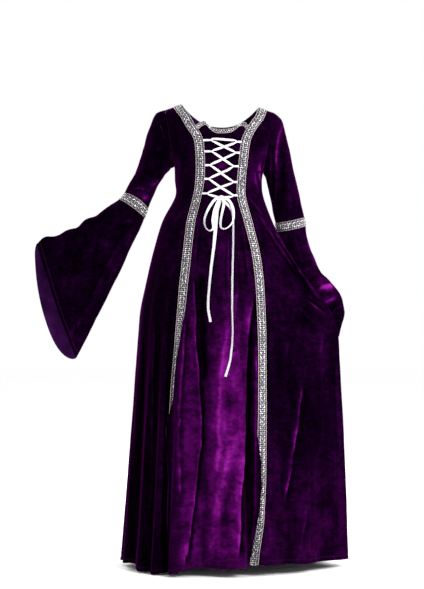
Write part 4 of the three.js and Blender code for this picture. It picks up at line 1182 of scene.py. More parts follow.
def armhole_middle(name):
    side = SIDES[name]
    x = side * (TIP_X[name] + ARMPIT_X[name]) / 2
    return np.array([x, 0, (TIP_Z[name] + ARMPIT_Z - ARMPIT_SLANT * side) / 2])


def neck_levels(theta, z):
    """Levels of the front panel's top edge at a height, and of the foot of the trim on it."""
    edge = level_at(theta, z, -1)
    here = gown(theta, edge, -1)
    step = np.linalg.norm(gown(theta, edge + STEP, -1) - here, axis=-1) / STEP
    return edge, edge + NECK_TRIM_WIDTH / step


def seam_neck_levels(name):
    level = np.array(0.35)
    for _ in range(8):
        level = level_at(trim_angles(name, level)[0], NECK_EDGE["z"][0], -1)
    return neck_levels(trim_angles(name, level)[0], NECK_EDGE["z"][0])


SEAM_COLUMNS = 16  # columns close together beside each seam, for the folds over the trims
SEAM_SHARE = 0.05
FRONT_COLUMNS = 104
FRONT_TOP_ROWS = 34
NECK_ROWS = 7


# The share of each front trim's width that the front panel's last fold covers, by height
COVER = {
    "right": table(
        "z share",
        (-600, 0),
        (-703, 0.12),
        (-791, 0.3),
        (-880, 0.7),
        (-925, 1.2),
        (-965, 1.5),
        (HEM_Z, 1.5),
    ),
    "left": table(
        "z share",
        (-980, 0),
        (-1060, 0.5),
        (-1130, 0.64),
        (-1210, 0.5),
        (-1290, 0.12),
        (HEM_Z, 0),
    ),
}
COVER_REACH = {"right": 80.0, "left": 26.0}  # how far from the seam the fold dies out
COVER_UNDER = 3.4  # height of the fold's under layer over the cloth below
COVER_TOP = 8.6  # height of its upper layer
COVER_LEAST = 0.2  # a cover too small to fold
COVER_GROWN = 7.0  # cover at which the fold stands at its full height
COVER_EDGE = 1.6  # half the length of cloth that turns round the fold's edge
UNDER_COLUMNS = 11


def folded_over(s, cover, reach):
    """Where cloth at lengths s from the seam comes to lie in a fold over the trim, and how high."""
    turn = 0.5 * cover
    below = np.maximum(-2 * cover * smooth(s / turn * 0.5), -cover)
    above = -cover + (s - turn) * (reach + cover) / (reach - turn)
    at = np.where(s < turn, below, np.where(s < reach, above, s))
    top = COVER_TOP * (1 - smooth((s - turn) / (reach - turn)))
    lift = np.where(s < turn, COVER_UNDER * smooth(s / turn * 4), top)
    edge = smooth((s - turn) / (2 * COVER_EDGE) + 0.5)
    near_edge = np.abs(s - turn) < COVER_EDGE
    lift = np.where(near_edge, mix(COVER_UNDER, COVER_TOP, edge), lift)
    at = np.where(near_edge, np.maximum(at, -cover + (2 * edge - 1) ** 2), at)
    return at, lift * min(1.0, cover / COVER_GROWN)


def fold_over_trims(points, theta, level):
    """The front panel's last folds, laid over the trims beside them as the photo shows."""
    moved = points.copy()
    for name, step in (("right", 1), ("left", -1)):
        side_theta = theta[:, ::step]
        side_level = level[:, ::step]
        inner, _, outer = trim_angles(name, side_level[:, 0])
        under = mix(outer[:, None], inner[:, None], np.linspace(0, 1, UNDER_COLUMNS + 1)[None, :-1])
        wide_theta = np.concatenate([under, side_theta], 1)
        wide_level = np.concatenate([np.repeat(side_level[:, :1], UNDER_COLUMNS, 1), side_level], 1)
        lines = gown(wide_theta, wide_level, -1)
        outs = gown_normal(wide_theta, wide_level, -1)
        for row, (line, out) in enumerate(zip(lines, outs)):
            here = moved[row, ::step]
            share = np.interp(-here[0, 2], -COVER[name]["z"], COVER[name]["share"])
            cover = float(share) * TRIM_WIDTH
            if cover < COVER_LEAST:
                continue
            run = run_along(line)
            run = run - run[UNDER_COLUMNS]
            s = run[UNDER_COLUMNS:]
            at, lift = folded_over(s, cover, COVER_REACH[name])
            past = np.minimum(at - run[0], 0)[:, None] * unit(line[0] - line[1])
            folded = read_along(at, run, line) - past + read_along(at, run, out) * lift[:, None]
            moved[row, ::step] = np.where((s < COVER_REACH[name])[:, None], folded, here)
    return moved


def front_panel():
    """The middle of the front, between the trims; its first rows lie under the neck's trim."""
    seam = np.linspace(0, SEAM_SHARE, SEAM_COLUMNS)
    t = np.concatenate([seam[:-1], np.linspace(SEAM_SHARE, 1 - SEAM_SHARE, FRONT_COLUMNS), 1 - seam[-2::-1]])

    def between(right, left):
        """Angles from one trim to the other, at a level on each."""
        ends = [trim_angles(name, np.array(level))[0] for name, level in (("right", right), ("left", left))]
        return mix(ends[0][..., None], ends[1][..., None], t)

    seams = [seam_neck_levels(name) for name in ("right", "left")]
    edges = []
    for i in (0, 1):
        theta = between(seams[0][i], seams[1][i])
        level = neck_levels(theta, column(NECK_EDGE, "across", 2 * t - 1, "z"))[i]
        level[[0, -1]] = [ends[i] for ends in seams]
        edges.append((theta, level))
    rows = [[mix(a, b, s) for a, b in zip(*edges)] for s in np.linspace(0, 1, NECK_ROWS)]
    for s in np.linspace(0, 1, FRONT_TOP_ROWS)[1:-1]:
        level = mix(edges[1][1], 1.0, s)
        rows.append([between(level[0], level[-1]), level])
    levels = lower_levels()
    theta = np.concatenate([[theta for theta, _ in rows], between(levels, levels)])
    level = np.concatenate([[level for _, level in rows], np.repeat(levels[:, None], len(t), 1)])
    piece, grid, normals = cloth_panel("front_panel", theta, level, -1, fold_over=fold_over_trims)
    return grid, normals


SIDE_COLUMNS = 84
SIDE_TOP_ROWS = 46
TRIM_COLUMNS = 9


def side_front(name):
    """A side front; its first columns lie under the trim, and are returned for it."""
    levels = np.concatenate([np.linspace(0.0, 1.0, SIDE_TOP_ROWS)[:-1], lower_levels()])
    inner, _, outer = (angles[:, None] for angles in trim_angles(name, levels))
    under = mix(inner, outer, np.linspace(0, 1, TRIM_COLUMNS)[:-1])
    rest = mix(outer, SIDES[name] * math.pi / 2, np.linspace(0, 1, SIDE_COLUMNS))
    theta = np.concatenate([under, rest], 1)
    level = np.repeat(levels[:, None], theta.shape[1], 1)
    holes = [(-1, armhole_middle(name))]
    piece, grid, normals = cloth_panel(f"side_front_{name}", theta, level, -1, (-1,), holes)
    return grid[:, :TRIM_COLUMNS], normals[:, :TRIM_COLUMNS]


BACK_COLUMNS = 170
BACK_TOP_ROWS = 40
NECK_END = 0.985  # share of the back neck's reach that is stitched


def back_panel():
    """The back: below a scooped neck between the trims' shoulder ends, from side seam to side seam."""
    neck = {name: abs(float(trim_angles(name, np.array(0.0))[0])) for name in SIDES}
    theta = mix(math.pi / 2, 1.5 * math.pi, np.linspace(0, 1, BACK_COLUMNS))
    reach = np.sin(theta) / np.sin(by_side(theta, neck))
    seams = [float(bare(math.pi - SIDES[name] * neck[name], 0.0, 1)[2]) for name in SIDES]
    shoulder = mix(seams[0], seams[1], (1 + np.clip(reach, -1, 1)) / 2)
    reach = np.abs(reach)
    drop = BACK_NECK_DROP * (1 - np.clip(reach, 0, 1) ** 2.4)
    edge = np.where(reach >= 1, 0, level_at(theta, shoulder - drop, 1))
    upper = mix(edge[None, :], 1.0, np.linspace(0, 1, BACK_TOP_ROWS)[:-1, None])
    lower = np.repeat(lower_levels(BACK_ROWS)[:, None], BACK_COLUMNS, 1)
    level = np.concatenate([upper, lower])
    theta = np.repeat(theta[None, :], level.shape[0], 0)
    holes = [(0, armhole_middle("left")), (-1, armhole_middle("right"))]
    piece, grid, normals = cloth_panel("back", theta, level, 1, (0, -1), holes)
    stitched = reach < NECK_END
    stitches("back_neck", grid[:, stitched], normals[:, stitched], NECK_STITCH)


# Sleeves


def sleeve_row(source, r):
    i = np.clip(np.floor(r).astype(int), 0, LAST_ROW - 1)
    read = {key: spline(source[key], i, r - i) for key in source}
    outer = np.stack([read["ox"], read["oy"], read["oz"]], -1)
    inner = np.stack([read["ix"], read["iy"], read["iz"]], -1)
    return outer, inner, (outer + inner) / 2, read["wide"], read["hang"]


def sleeve_point(name, r, phi):
    source = SLEEVES[name]
    r = np.asarray(r, float)
    outer, inner, middle, wide, hang = sleeve_row(source, r)
    after = sleeve_row(source, np.minimum(r + 0.5, LAST_ROW))[2]
    before = sleeve_row(source, np.maximum(r - 0.5, 0))[2]
    axis = unit(after - before)
    across = (outer - inner) / 2
    front = unit(np.cross(axis, across))
    front = np.where(front[..., 1:2] > 0, -front, front)
    front = unit(mix(front, np.array([0.0, -1.0, 0.0]), np.clip(1 - r / 2, 0, 1)[..., None]))
    c = np.cos(phi)
    s = np.sin(phi)
    bell = np.clip((r - ELBOW_ROW) / (LAST_ROW - ELBOW_ROW), 0, 1)
    waves = np.sin(2 * BELL_FOLDS * phi + np.where(s > 0, 0.6, 2.4)) * BELL_FOLD_DEEP * bell * np.abs(s)
    width = mix(hang, wide, (1 + c) / 2) + waves
    swing = np.where(s > 0, HEM_SWING[name][0], HEM_SWING[name][1]) * bell**2 * np.abs(s) ** 1.3
    skew = mix(0.75, 1.2, (1 - c) / 2)
    return middle + across * c[..., None] + front * (width * s)[..., None] + axis * (swing * skew)[..., None]


def behind_skirt(points):
    """Moves a sleeve's points back until they are behind the skirt where they would lie in it."""
    flat = points.reshape(-1, 3)
    low = flat[:, 2] <= SKIRT_NEAR
    part = flat[low]
    steps = np.linspace(0.15, math.pi, 91)
    ring = gown(steps[None, :], level_of_height(part[:, 2])[:, None], 1)
    near = np.minimum(ring[:, :-1, 0], ring[:, 1:, 0]) - SLEEVE_CLEAR
    far = np.maximum(ring[:, :-1, 0], ring[:, 1:, 0]) + SLEEVE_CLEAR
    y = np.maximum(ring[:, :-1, 1], ring[:, 1:, 1])
    inside = (part[:, None, 0] >= near) & (part[:, None, 0] <= far)
    limit = np.where(inside, y, -1e9).max(axis=1) + SLEEVE_CLEAR
    part[:, 1] = np.maximum(part[:, 1], limit)
    flat[low] = part
    return flat.reshape(points.shape)


def ring_normals(grid):
    around = np.roll(grid, -1, 1) - np.roll(grid, 1, 1)
    down = np.gradient(grid, axis=0)
    normals = unit(np.cross(around, down))
    outward = grid - grid.mean(axis=1, keepdims=True)
    facing = (normals * outward).sum(-1, keepdims=True)
    return np.where(facing < 0, -normals, normals)


SLEEVE_SIDES = 96
SLEEVE_ROWS = 62
BELL_ROWS = 104
ARMHOLE_GAP = 0.4
SKIRT_NEAR = -330  # height below which the left sleeve hangs against the skirt
# Painted shade over the whole of each sleeve, deepest on the wearer's right, away from the key lamp
SLEEVE_PAINTED_SHADE = {"right": -0.13, "left": -0.01}
# Patches of painted highlight on the sleeves: place, half size and shine
SLEEVE_PATCHES = {
    "right": table(
        "x z across down shine",
        (-236, -270, 22, 16, 0.34),
        (-214, -242, 16, 14, 0.16),
        (-300, -352, 30, 14, 0.1),
        (-345, -455, 40, 36, 0.09),
        (-385, -530, 40, 26, 0.08),
        (-428, -690, 24, 34, 0.2),
        (-455, -420, 30, 40, 0.05),
        (-460, -600, 16, 50, 0.06),
    ),
    "left": table(
        "x z across down shine",
        (332, -560, 22, 30, 0.34),
        (300, -520, 20, 16, 0.14),
        (172, -140, 12, 60, 0.16),
        (186, -62, 12, 30, 0.14),
        (215, -210, 30, 100, 0.05),
    ),
}
ARMHOLE_LINE = [(190, -48), (177, -87), (168, -127), (165, -164), (172, -195)]
# Creases on what faces forward on the sleeves; their shine is painted highlight above 0 and painted shade
# below 0
SLEEVE_CREASES = {
    "right": [
        ([(-261, -259), (-237, -256), (-218, -261)], (-3.5, 7, -0.4), (2.2, 8, 0.4)),
        ([(-177, -216), (-190, -235), (-211, -247)], (2.2, 7, 0.4), (1.6, 6, 0.3)),
        ([(-237, -284), (-222, -282), (-208, -282)], (2.2, 7, 0.3), (2.2, 9, 0.4)),
        ([(-225, -181), (-231, -215)], (1.2, 6, 0.1), (-1.2, 7, -0.05)),
        ([(-195, -158), (-199, -204)], (1.2, 6, 0.1), (-1.2, 7, -0.05)),
        ([(-188, -60), (-204, -130), (-212, -170)], (1.4, 10, 0.05), (-1.6, 10, -0.05)),
        ([(-255, -340), (-275, -346), (-292, -353)], (-2.5, 8, -0.08), (2.0, 7, 0.2)),
        ([(-250, -362), (-290, -372), (-330, -380)], (-2.5, 10, -0.08), (2.0, 9, 0.06)),
        ([(-234, -331), (-303, -417), (-348, -501), (-412, -639)], (-3.0, 12, -0.1), (2.5, 14, 0.09)),
        ([(-392, -627), (-430, -669), (-447, -708)], (3.0, 9, 0.2), (-3.0, 10, -0.1)),
        ([(-413, -445), (-396, -441), (-379, -438)], (-1.5, 10, -0.04), (1.8, 10, 0.1)),
        ([(-423, -528), (-392, -525), (-364, -528)], (-1.5, 10, -0.04), (2.0, 10, 0.12)),
        ([(-300, -330), (-330, -400), (-345, -440)], (2.5, 12, 0.04), (-2.5, 12, -0.06)),
        ([(-345, -340), (-372, -420), (-390, -500)], (2.5, 14, 0.03), (-2.5, 12, -0.06)),
        ([(-400, -368), (-432, -460), (-460, -560)], (3.0, 14, 0.05), (-3.0, 14, -0.06)),
        ([(-455, -400), (-482, -480), (-505, -560)], (2.5, 12, 0.08), (-2.5, 12, -0.04)),
        ([(-270, -400), (-310, -470), (-350, -560)], (-2.0, 10, -0.05), (2.0, 12, 0.07)),
    ],
    "left": [
        (ARMHOLE_LINE, (-1.8, 9, -0.12), (2.2, 6, 0.5)),
        (ARMHOLE_LINE, (1.0, 3, 0.2), (1.0, 3, 0.1)),
        ([(151, -133), (152, -195), (152, -254)], (-1.8, 6, -0.1), (1.6, 4, 0.28)),
        ([(160, -120), (161, -200), (161, -310)], (-2.4, 5, -0.15), (-2.4, 5, -0.15)),
        ([(172, -205), (171, -250), (169, -322)], (1.4, 4, 0.26), (-1.4, 6, -0.05)),
        ([(186, -100), (189, -200), (190, -322)], (-2.2, 7, -0.12), (-2.2, 7, -0.12)),
        ([(205, -100), (210, -200), (213, -320)], (1.4, 7, 0.12), (1.2, 7, 0.1)),
        ([(229, -180), (238, -250), (246, -310)], (0.6, 5, 0.14), (0.6, 5, 0.16)),
        ([(200, -368), (215, -440), (236, -500)], (1.6, 9, 0.04), (-2.0, 9, -0.08)),
        ([(228, -380), (243, -430), (262, -480)], (1.8, 8, 0.06), (-2.0, 8, -0.05)),
        ([(264, -390), (272, -430), (290, -470), (302, -500)], (0.8, 6, 0.22), (0.8, 6, 0.3)),
        ([(252, -506), (262, -500), (275, -493)], (-3.0, 8, -0.12), (3.0, 7, 0.26)),
        ([(268, -532), (285, -522), (306, -514)], (-2.5, 7, -0.15), (-4.0, 7, -0.25)),
        ([(297, -561), (314, -547), (335, -542), (350, -552)], (2.0, 7, 0.6), (2.8, 6, 0.7)),
        ([(296, -577), (322, -570), (352, -563)], (-4.0, 5, -0.3), (-3.0, 5, -0.25)),
        ([(310, -596), (334, -589), (356, -576)], (2.0, 6, 0.5), (2.8, 5, 0.65)),
        ([(322, -612), (344, -604), (362, -598)], (-3.0, 5, -0.3), (-3.0, 5, -0.2)),
        ([(330, -520), (346, -530), (360, -545)], (1.6, 6, 0.2), (-2.0, 6, -0.15)),
    ],
}


def sleeve(name):
    """Upper sleeve and bell as two shells; returns the band of them under the elbow trim."""
    middles = [sleeve_row(SLEEVES[name], np.array(ELBOW_ROW + n, float))[2] for n in (-1, 0, 1)]
    before = ELBOW_ROW - ELBOW_TRIM_HALF / np.linalg.norm(middles[0] - middles[1])
    after = ELBOW_ROW + ELBOW_TRIM_HALF / np.linalg.norm(middles[1] - middles[2])
    upper_rows = np.linspace(0, before, SLEEVE_ROWS)[:-1]
    band_rows = np.linspace(before, after, TRIM_COLUMNS)
    bell_rows = np.linspace(after, LAST_ROW, BELL_ROWS)[1:]
    places = np.concatenate([upper_rows, band_rows, bell_rows])
    phi = np.linspace(0, 2 * math.pi, SLEEVE_SIDES, endpoint=False)
    grid = sleeve_point(name, *(np.array(v) for v in np.broadcast_arrays(places[:, None], phi)))
    if name == "left":
        grid = behind_skirt(grid)
    grid[0, :, 0] += SIDES[name] * ARMHOLE_GAP
    normals = ring_normals(grid)
    forward = smooth(-normals[..., 1] * 2.5 + 0.3)
    high, shine = crease_fields(grid, SLEEVE_CREASES[name])
    ease = smooth(places / 0.8)[:, None]
    flat_band = 1 - np.exp(-(((places - ELBOW_ROW) / (after - before)) ** 2))[:, None]
    height = (high * forward + crumple(grid) * 1.6) * ease * flat_band
    if name == "left":
        height = np.where(grid[..., 2] < SKIRT_NEAR, np.maximum(height, -2.5), height)
    else:
        ripple = np.sin(np.linalg.norm(grid - grid[:1], axis=-1) / 9.5) * 3.0
        on_top = smooth((np.cos(phi)[None, :] - 0.8) * 5)
        height = height + ripple * on_top * smooth((places - 8) / 2)[:, None]
    # The colour factor: the pile's crush with painted highlight and shade from patches and creases, and
    # painted shade over the whole sleeve
    crush_and_painted_light = pile_and_painted_light(grid, forward, SLEEVE_PATCHES[name]) + SLEEVE_PAINTED_SHADE[name] + shine * forward
    grid = grid + normals * height[..., None]
    inner_normals = normals.copy()
    inner_normals[0] = unit(grid[0] - armhole_middle(name))
    inner = grid - inner_normals * CLOTH
    split = len(upper_rows) + TRIM_COLUMNS // 2
    for part, rows in (("sleeve", slice(0, split + 1)), ("bell", slice(split, len(places)))):
        label = f"{part}_{name}"
        values = {"crush_and_painted_light": crush_and_painted_light[rows]}
        uv = grid_uv(grid[rows])
        piece = shell(f"{label}_velvet", grid[rows], inner[rows], CLOTH_SIDES, True, values, uv)
        keep(piece, "velvet", label)
        if part == "bell":
            sew_hem(label, grid[rows], normals[rows], ring=True)
    band = slice(len(upper_rows), len(upper_rows) + TRIM_COLUMNS)
    return grid[band], normals[band]


# Trims


def resample(lines, spacing):
    """Rows of points and normals along a strip, at an even spacing measured on its middle."""
    columns = range(lines[0].shape[1])
    run = run_along(lines[0][:, len(columns) // 2])
    at = np.linspace(0, run[-1], max(2, int(round(run[-1] / spacing)) + 1))
    points, normals = (np.stack([read_along(at, run, v[:, c]) for c in columns], 1) for v in lines)
    return points, unit(normals)


def across_strip(grid, normals, share):
    """The line of points, normals at a share of a strip's width."""
    at = share * (grid.shape[1] - 1)
    i = min(int(at), grid.shape[1] - 2)
    return mix(grid[:, i], grid[:, i + 1], at - i), unit(mix(normals[:, i], normals[:, i + 1], at - i))


def joined(name, pieces):
    """Several objects as one mesh."""
    bpy.ops.object.select_all(action="DESELECT")
    for piece in pieces:
        piece.select_set(True)
    bpy.context.view_layer.objects.active = pieces[0]
    bpy.ops.object.join()
    pieces[0].name = name
    pieces[0].data.name = name
    return pieces[0]


BRAID_SINK = 0.25  # how far a braid's foot lies in the pile
BRAID_FACE = LIFT + TRIM_THICK - BRAID_SINK
MOTIF_STEP = 12.5  # length of one repeat of the braid's pattern
NARROW_STEP = 7.5
CORD_STEP = 2.2
CORD_SIZE = (2.9, 1.5, 1.5)
CORD_LEAN = 0.35
CORD_OUT = 0.5
# The raised shapes of a repeat: name, share of the width, first half repeat, size, form, thread, lean
WIDE_MOTIFS = [
    ("leaf_a", 0.29, 0, (8.4, 4.2, 1.7), "leaf", BRAID_SCROLL, 1.0),
    ("leaf_b", 0.71, 0, (8.4, 4.2, 1.7), "leaf", BRAID_SCROLL, -1.0),
    ("leaf_c", 0.29, 1, (6.4, 3.4, 1.5), "leaf", BRAID_SCROLL, -1.0),
    ("leaf_d", 0.71, 1, (6.4, 3.4, 1.5), "leaf", BRAID_SCROLL, 1.0),
    ("flower", 0.5, 1, (5.2, 4.6, 2.0), "bead", BRAID_SCROLL, 0.0),
    ("bead", 0.5, 0, (2.8, 2.8, 1.8), "bead", BRAID_GOLD, 0.0),
    ("dot_a", 0.12, 1, (2.8, 2.2, 1.3), "bead", BRAID_EDGE, 0.0),
    ("dot_b", 0.88, 1, (2.8, 2.2, 1.3), "bead", BRAID_EDGE, 0.0),
]
NARROW_MOTIFS = [
    ("leaf_a", 0.36, 0, (6.2, 3.0, 1.3), "leaf", BRAID_SCROLL, 0.9),
    ("leaf_b", 0.64, 1, (6.2, 3.0, 1.3), "leaf", BRAID_SCROLL, -0.9),
]


def along_strip(lines, share, lean, height):
    """Places, leaning ways and normals along a strip at a share of its width, a height out."""
    line, out = across_strip(*lines, share)
    along = along_of(line)
    side = unit(np.cross(out, along))
    return line + out * height, unit(along + side * lean), out


def braid(name, grid, normals, ring=False, narrow=False):
    """A woven braid: a ground strip, two rows of leaves about a beaded middle, and corded edges."""
    base = grid + normals * (LIFT - BRAID_SINK)
    top = grid + normals * BRAID_FACE
    edge_sink = np.ones(grid.shape[1])
    edge_sink[[0, -1]] = 0.35
    top = base + (top - base) * edge_sink[None, :, None]
    pieces = [shell(name, top, base, [BRAID_GROUND], ring=ring, uv=grid_uv(grid))]
    lines = (grid, normals)
    if ring:
        lines = tuple(np.concatenate([g, g[:, :1]], 1).transpose(1, 0, 2) for g in lines)
    half_steps = resample(lines, (NARROW_STEP if narrow else MOTIF_STEP) / 2)
    for label, share, first, size, shape, thread, lean in NARROW_MOTIFS if narrow else WIDE_MOTIFS:
        places = [values[first::2] for values in along_strip(half_steps, share, lean, BRAID_FACE)]
        pieces.append(strewn(f"{name}_{label}", *places, size, shape, thread))
    cord_steps = resample(lines, CORD_STEP)
    for label, share in (("edge_a", 0.02), ("edge_b", 0.98)):
        places = along_strip(cord_steps, share, CORD_LEAN, LIFT + CORD_OUT)
        pieces.append(strewn(f"{name}_{label}", *places, CORD_SIZE, "leaf", BRAID_EDGE))
    keep(joined(f"{name}_braid", pieces), "woven_trim", name)


# Ribbons


LACE_ROWS = table(
    "right right_loop left left_loop",
    (-107, 30, -112, 19),
    (-141, 27, -145, 17),
    (-182, 20, -185, 19),
    (-223, 18, -229, 16),
    (-265, 21, -271, 16),
)
KNOT = {"x": 4.0, "z": -279.0, "out": 6.2, "wide": 9.0, "high": 7.5, "deep": 4.4}
KNOT_GAP = 0.35
LOOP_CLEAR = 0.9
LOOP_FOOT = 1.5
LOOP_TOP = 4.8
LACE_OUT = 3.15
CROSS_OUT = 1.1
LOOP_EYE = 6.5
CROSSING = table("t rise", (0.2, 0.5), (0.35, 1), (0.5, 1), (0.65, 1), (0.8, 0.5))
THROUGH = table("into up", (8, -4.4), (3, -2.3), (0.6, -0.9), (0.6, 0.9), (3, 2.3), (8, 4.4))
BOW_LOOPS = {
    "right": table(
        "x z out",
        (-13, -282, 7),
        (-26, -297, 9),
        (-39, -320, 9),
        (-47, -345, 8),
        (-44, -367, 7),
        (-31, -378, 8),
        (-20, -369, 12),
        (-22, -345, 15),
        (-17, -317, 15),
        (-9, -297, 14),
    ),
    "left": table(
        "x z out",
        (20, -282, 7),
        (32, -295, 9),
        (40, -320, 9),
        (39, -345, 8),
        (31, -361, 8),
        (16, -372, 9),
        (3, -369, 12),
        (1, -352, 15),
        (5, -328, 15),
        (11, -298, 15.5),
    ),
}
TAILS = {
    "right": table(
        "x z out",
        (-2, -294, 3),
        (-10, -320, 2),
        (-13, -360, 1.8),
        (-19, -424, 2),
        (-28, -499, 2),
        (-36, -598, 2),
        (-29, -650, 2),
    ),
    "left": table(
        "x z out",
        (16, -293, 3),
        (30, -308, 2),
        (38, -330, 1.8),
        (39, -399, 2),
        (36, -520, 2),
        (35, -620, 2),
        (36, -690, 2),
        (29, -762, 2),
        (15, -811, 2),
    ),
}
# How each tail turns edge on and changes width along its length
TAIL_LOOK = {
    "right": table(
        "t roll wide",
        (0, 10, 1.0),
        (0.12, 12, 1.3),
        (0.4, 28, 1.1),
        (0.7, 40, 0.95),
        (1, 35, 0.95),
    ),
    "left": table(
        "t roll wide",
        (0, 20, 0.9),
        (0.15, 48, 0.8),
        (0.5, 44, 0.85),
        (0.75, 52, 0.9),
        (1, 30, 0.85),
    ),
}
BOW_WIDTH = 8.0
TAIL_WIDTH = 9.0
KNOT_SEATS = {
    "right": {"outer": (-1, 0.1, 0.3), "inner": (-0.75, 0.8, 0.6), "tail": (-0.4, -0.45, 1)},
    "left": {"outer": (1, 0.1, 0.3), "inner": (0.7, 1, 0.9), "tail": (0.75, -0.45, 0.9)},
}


def on_front(x, z, out):
    """Points in front of the gown at places across and heights, a distance out, with normals."""
    x, z, out = (np.atleast_1d(np.array(v, float)) for v in np.broadcast_arrays(x, z, out))
    side = np.where(x < 0, -1, 1)
    level = np.ones_like(x)
    ends = (np.zeros_like(x), np.full_like(x, FRONT_END))
    for _ in range(6):
        theta = side * halved(*ends, lambda angle: np.abs(bare(side * angle, level, -1)[..., 0]) < np.abs(x))
        above = z > bare(theta, 1.0, -1)[..., 2]
        level = np.where(above, level_at(theta, z, -1), level_of_height(z))
    normal = gown_normal(theta, level, -1)
    return gown(theta, level, -1) + normal * out[:, None], normal


def trim_edge(name, z):
    """The inner edge of a front trim at a height, as a place across."""
    theta = np.array(SIDES[name] * math.radians(30))
    for _ in range(8):
        if z > bare(theta, 1.0, -1)[..., 2]:
            level = level_at(theta, z, -1)
        else:
            level = level_of_height(z)
        theta = trim_angles(name, np.array(level))[0]
    return float(gown(theta, level, -1)[0])


def front_y(x, z, reach):
    """The most forward place of the gown's front at a height, near a place across."""
    angles = np.radians(np.arange(-40, 41))
    ring = gown(angles, level_of_height(z), -1)
    places = np.array([x - reach, x, x + reach])
    return float(np.interp(places, ring[:, 0], ring[:, 1]).min())


def smooth_line(points, count):
    """Evenly spaced points on a smooth curve through points."""
    points = np.asarray(points, float)
    spans = len(points) - 1
    t = np.linspace(0, spans, spans * 24 + 1)
    i = np.clip(t.astype(int), 0, spans - 1)
    padded = np.concatenate([[2 * points[0] - points[1]], points, [2 * points[-1] - points[-2]]])
    line = catmull_rom(*(padded[i + n] for n in range(4)), (t - i)[:, None])
    run = run_along(line)
    return read_along(np.linspace(0, run[-1], count), run, line)


def rolled(along, normals, degrees):
    """Normals turned about a line's direction."""
    turn = np.radians(degrees)[:, None]
    return unit(normals * np.cos(turn) + np.cross(along, normals) * np.sin(turn))


def ribbon(name, line, normals, width, thick=LACE_THICK, curl=0.35, across=None):
    """A satin ribbon along a line: slightly cupped across, with fine lengthwise folds."""
    if across is None:
        side = unit(np.cross(along_of(line), normals))
    else:
        side = np.repeat(unit(across)[None, :], len(line), 0)
    shares = np.linspace(-1, 1, 9)
    widths = np.broadcast_to(width, len(line))
    grid = line[:, None] + side[:, None] * (shares[None, :] * widths[:, None] / 2)[..., None]
    cup = curl * (shares**2 - 0.4)
    ripple = 0.16 * np.sin(run_along(line) / 7.0)[:, None] * np.cos(shares * 4)[None, :]
    grid = grid + normals[:, None] * (cup[None, :] + ripple)[..., None]
    half = thick / 2 * np.sqrt(np.clip(1.15 - shares**2 * 0.85, 0.1, 1))
    outer = grid + normals[:, None] * half[None, :, None]
    inner = grid - normals[:, None] * half[None, :, None]
    return shell(name, outer, inner, [SATIN], uv=grid_uv(grid))


def lace_loop(name, n):
    """One ribbon loop from under the trim's edge and back."""
    side = SIDES[name]
    z = LACE_ROWS[name][n]
    reach = LACE_ROWS[f"{name}_loop"][n]
    start = trim_edge(name, z) - side * (LOOP_CLEAR - 1.6)
    fold = (LOOP_TOP - LOOP_FOOT) / 2
    path = [(0, LOOP_FOOT), (reach * 0.5, LOOP_FOOT), (reach - fold, LOOP_FOOT)]
    path += [(reach - fold * 0.3, LOOP_FOOT + fold * 0.3), (reach, LOOP_FOOT + fold)]
    path += [(reach - fold * 0.3, LOOP_TOP - fold * 0.3), (reach - fold, LOOP_TOP)]
    path += [(reach * 0.4, LOOP_TOP - 0.4), (0, LOOP_FOOT + 1.5)]
    steps = np.array(path)
    line = smooth_line(on_front(start - side * steps[:, 0], z, steps[:, 1])[0], 40)
    ends = on_front(start - side * reach, [z - 4, z + 4], 0)[0]
    across = unit(ends[0] - ends[1])
    normals = unit(np.cross(along_of(line), across))
    far = np.abs(line[:, 0] - start) / reach
    widths = LOOP_WIDTH * mix(0.95, 0.6, smooth(far * 1.3 - 0.3))
    piece = ribbon(f"lace_loop_{name}_{n + 1}_satin", line, normals, widths, curl=0.0, across=across)
    keep(piece, "satin", f"lace_loop_{name}_{n + 1}")


def loop_eye(name, n):
    return trim_edge(name, LACE_ROWS[name][n]) - SIDES[name] * (LACE_ROWS[f"{name}_loop"][n] - LOOP_EYE)


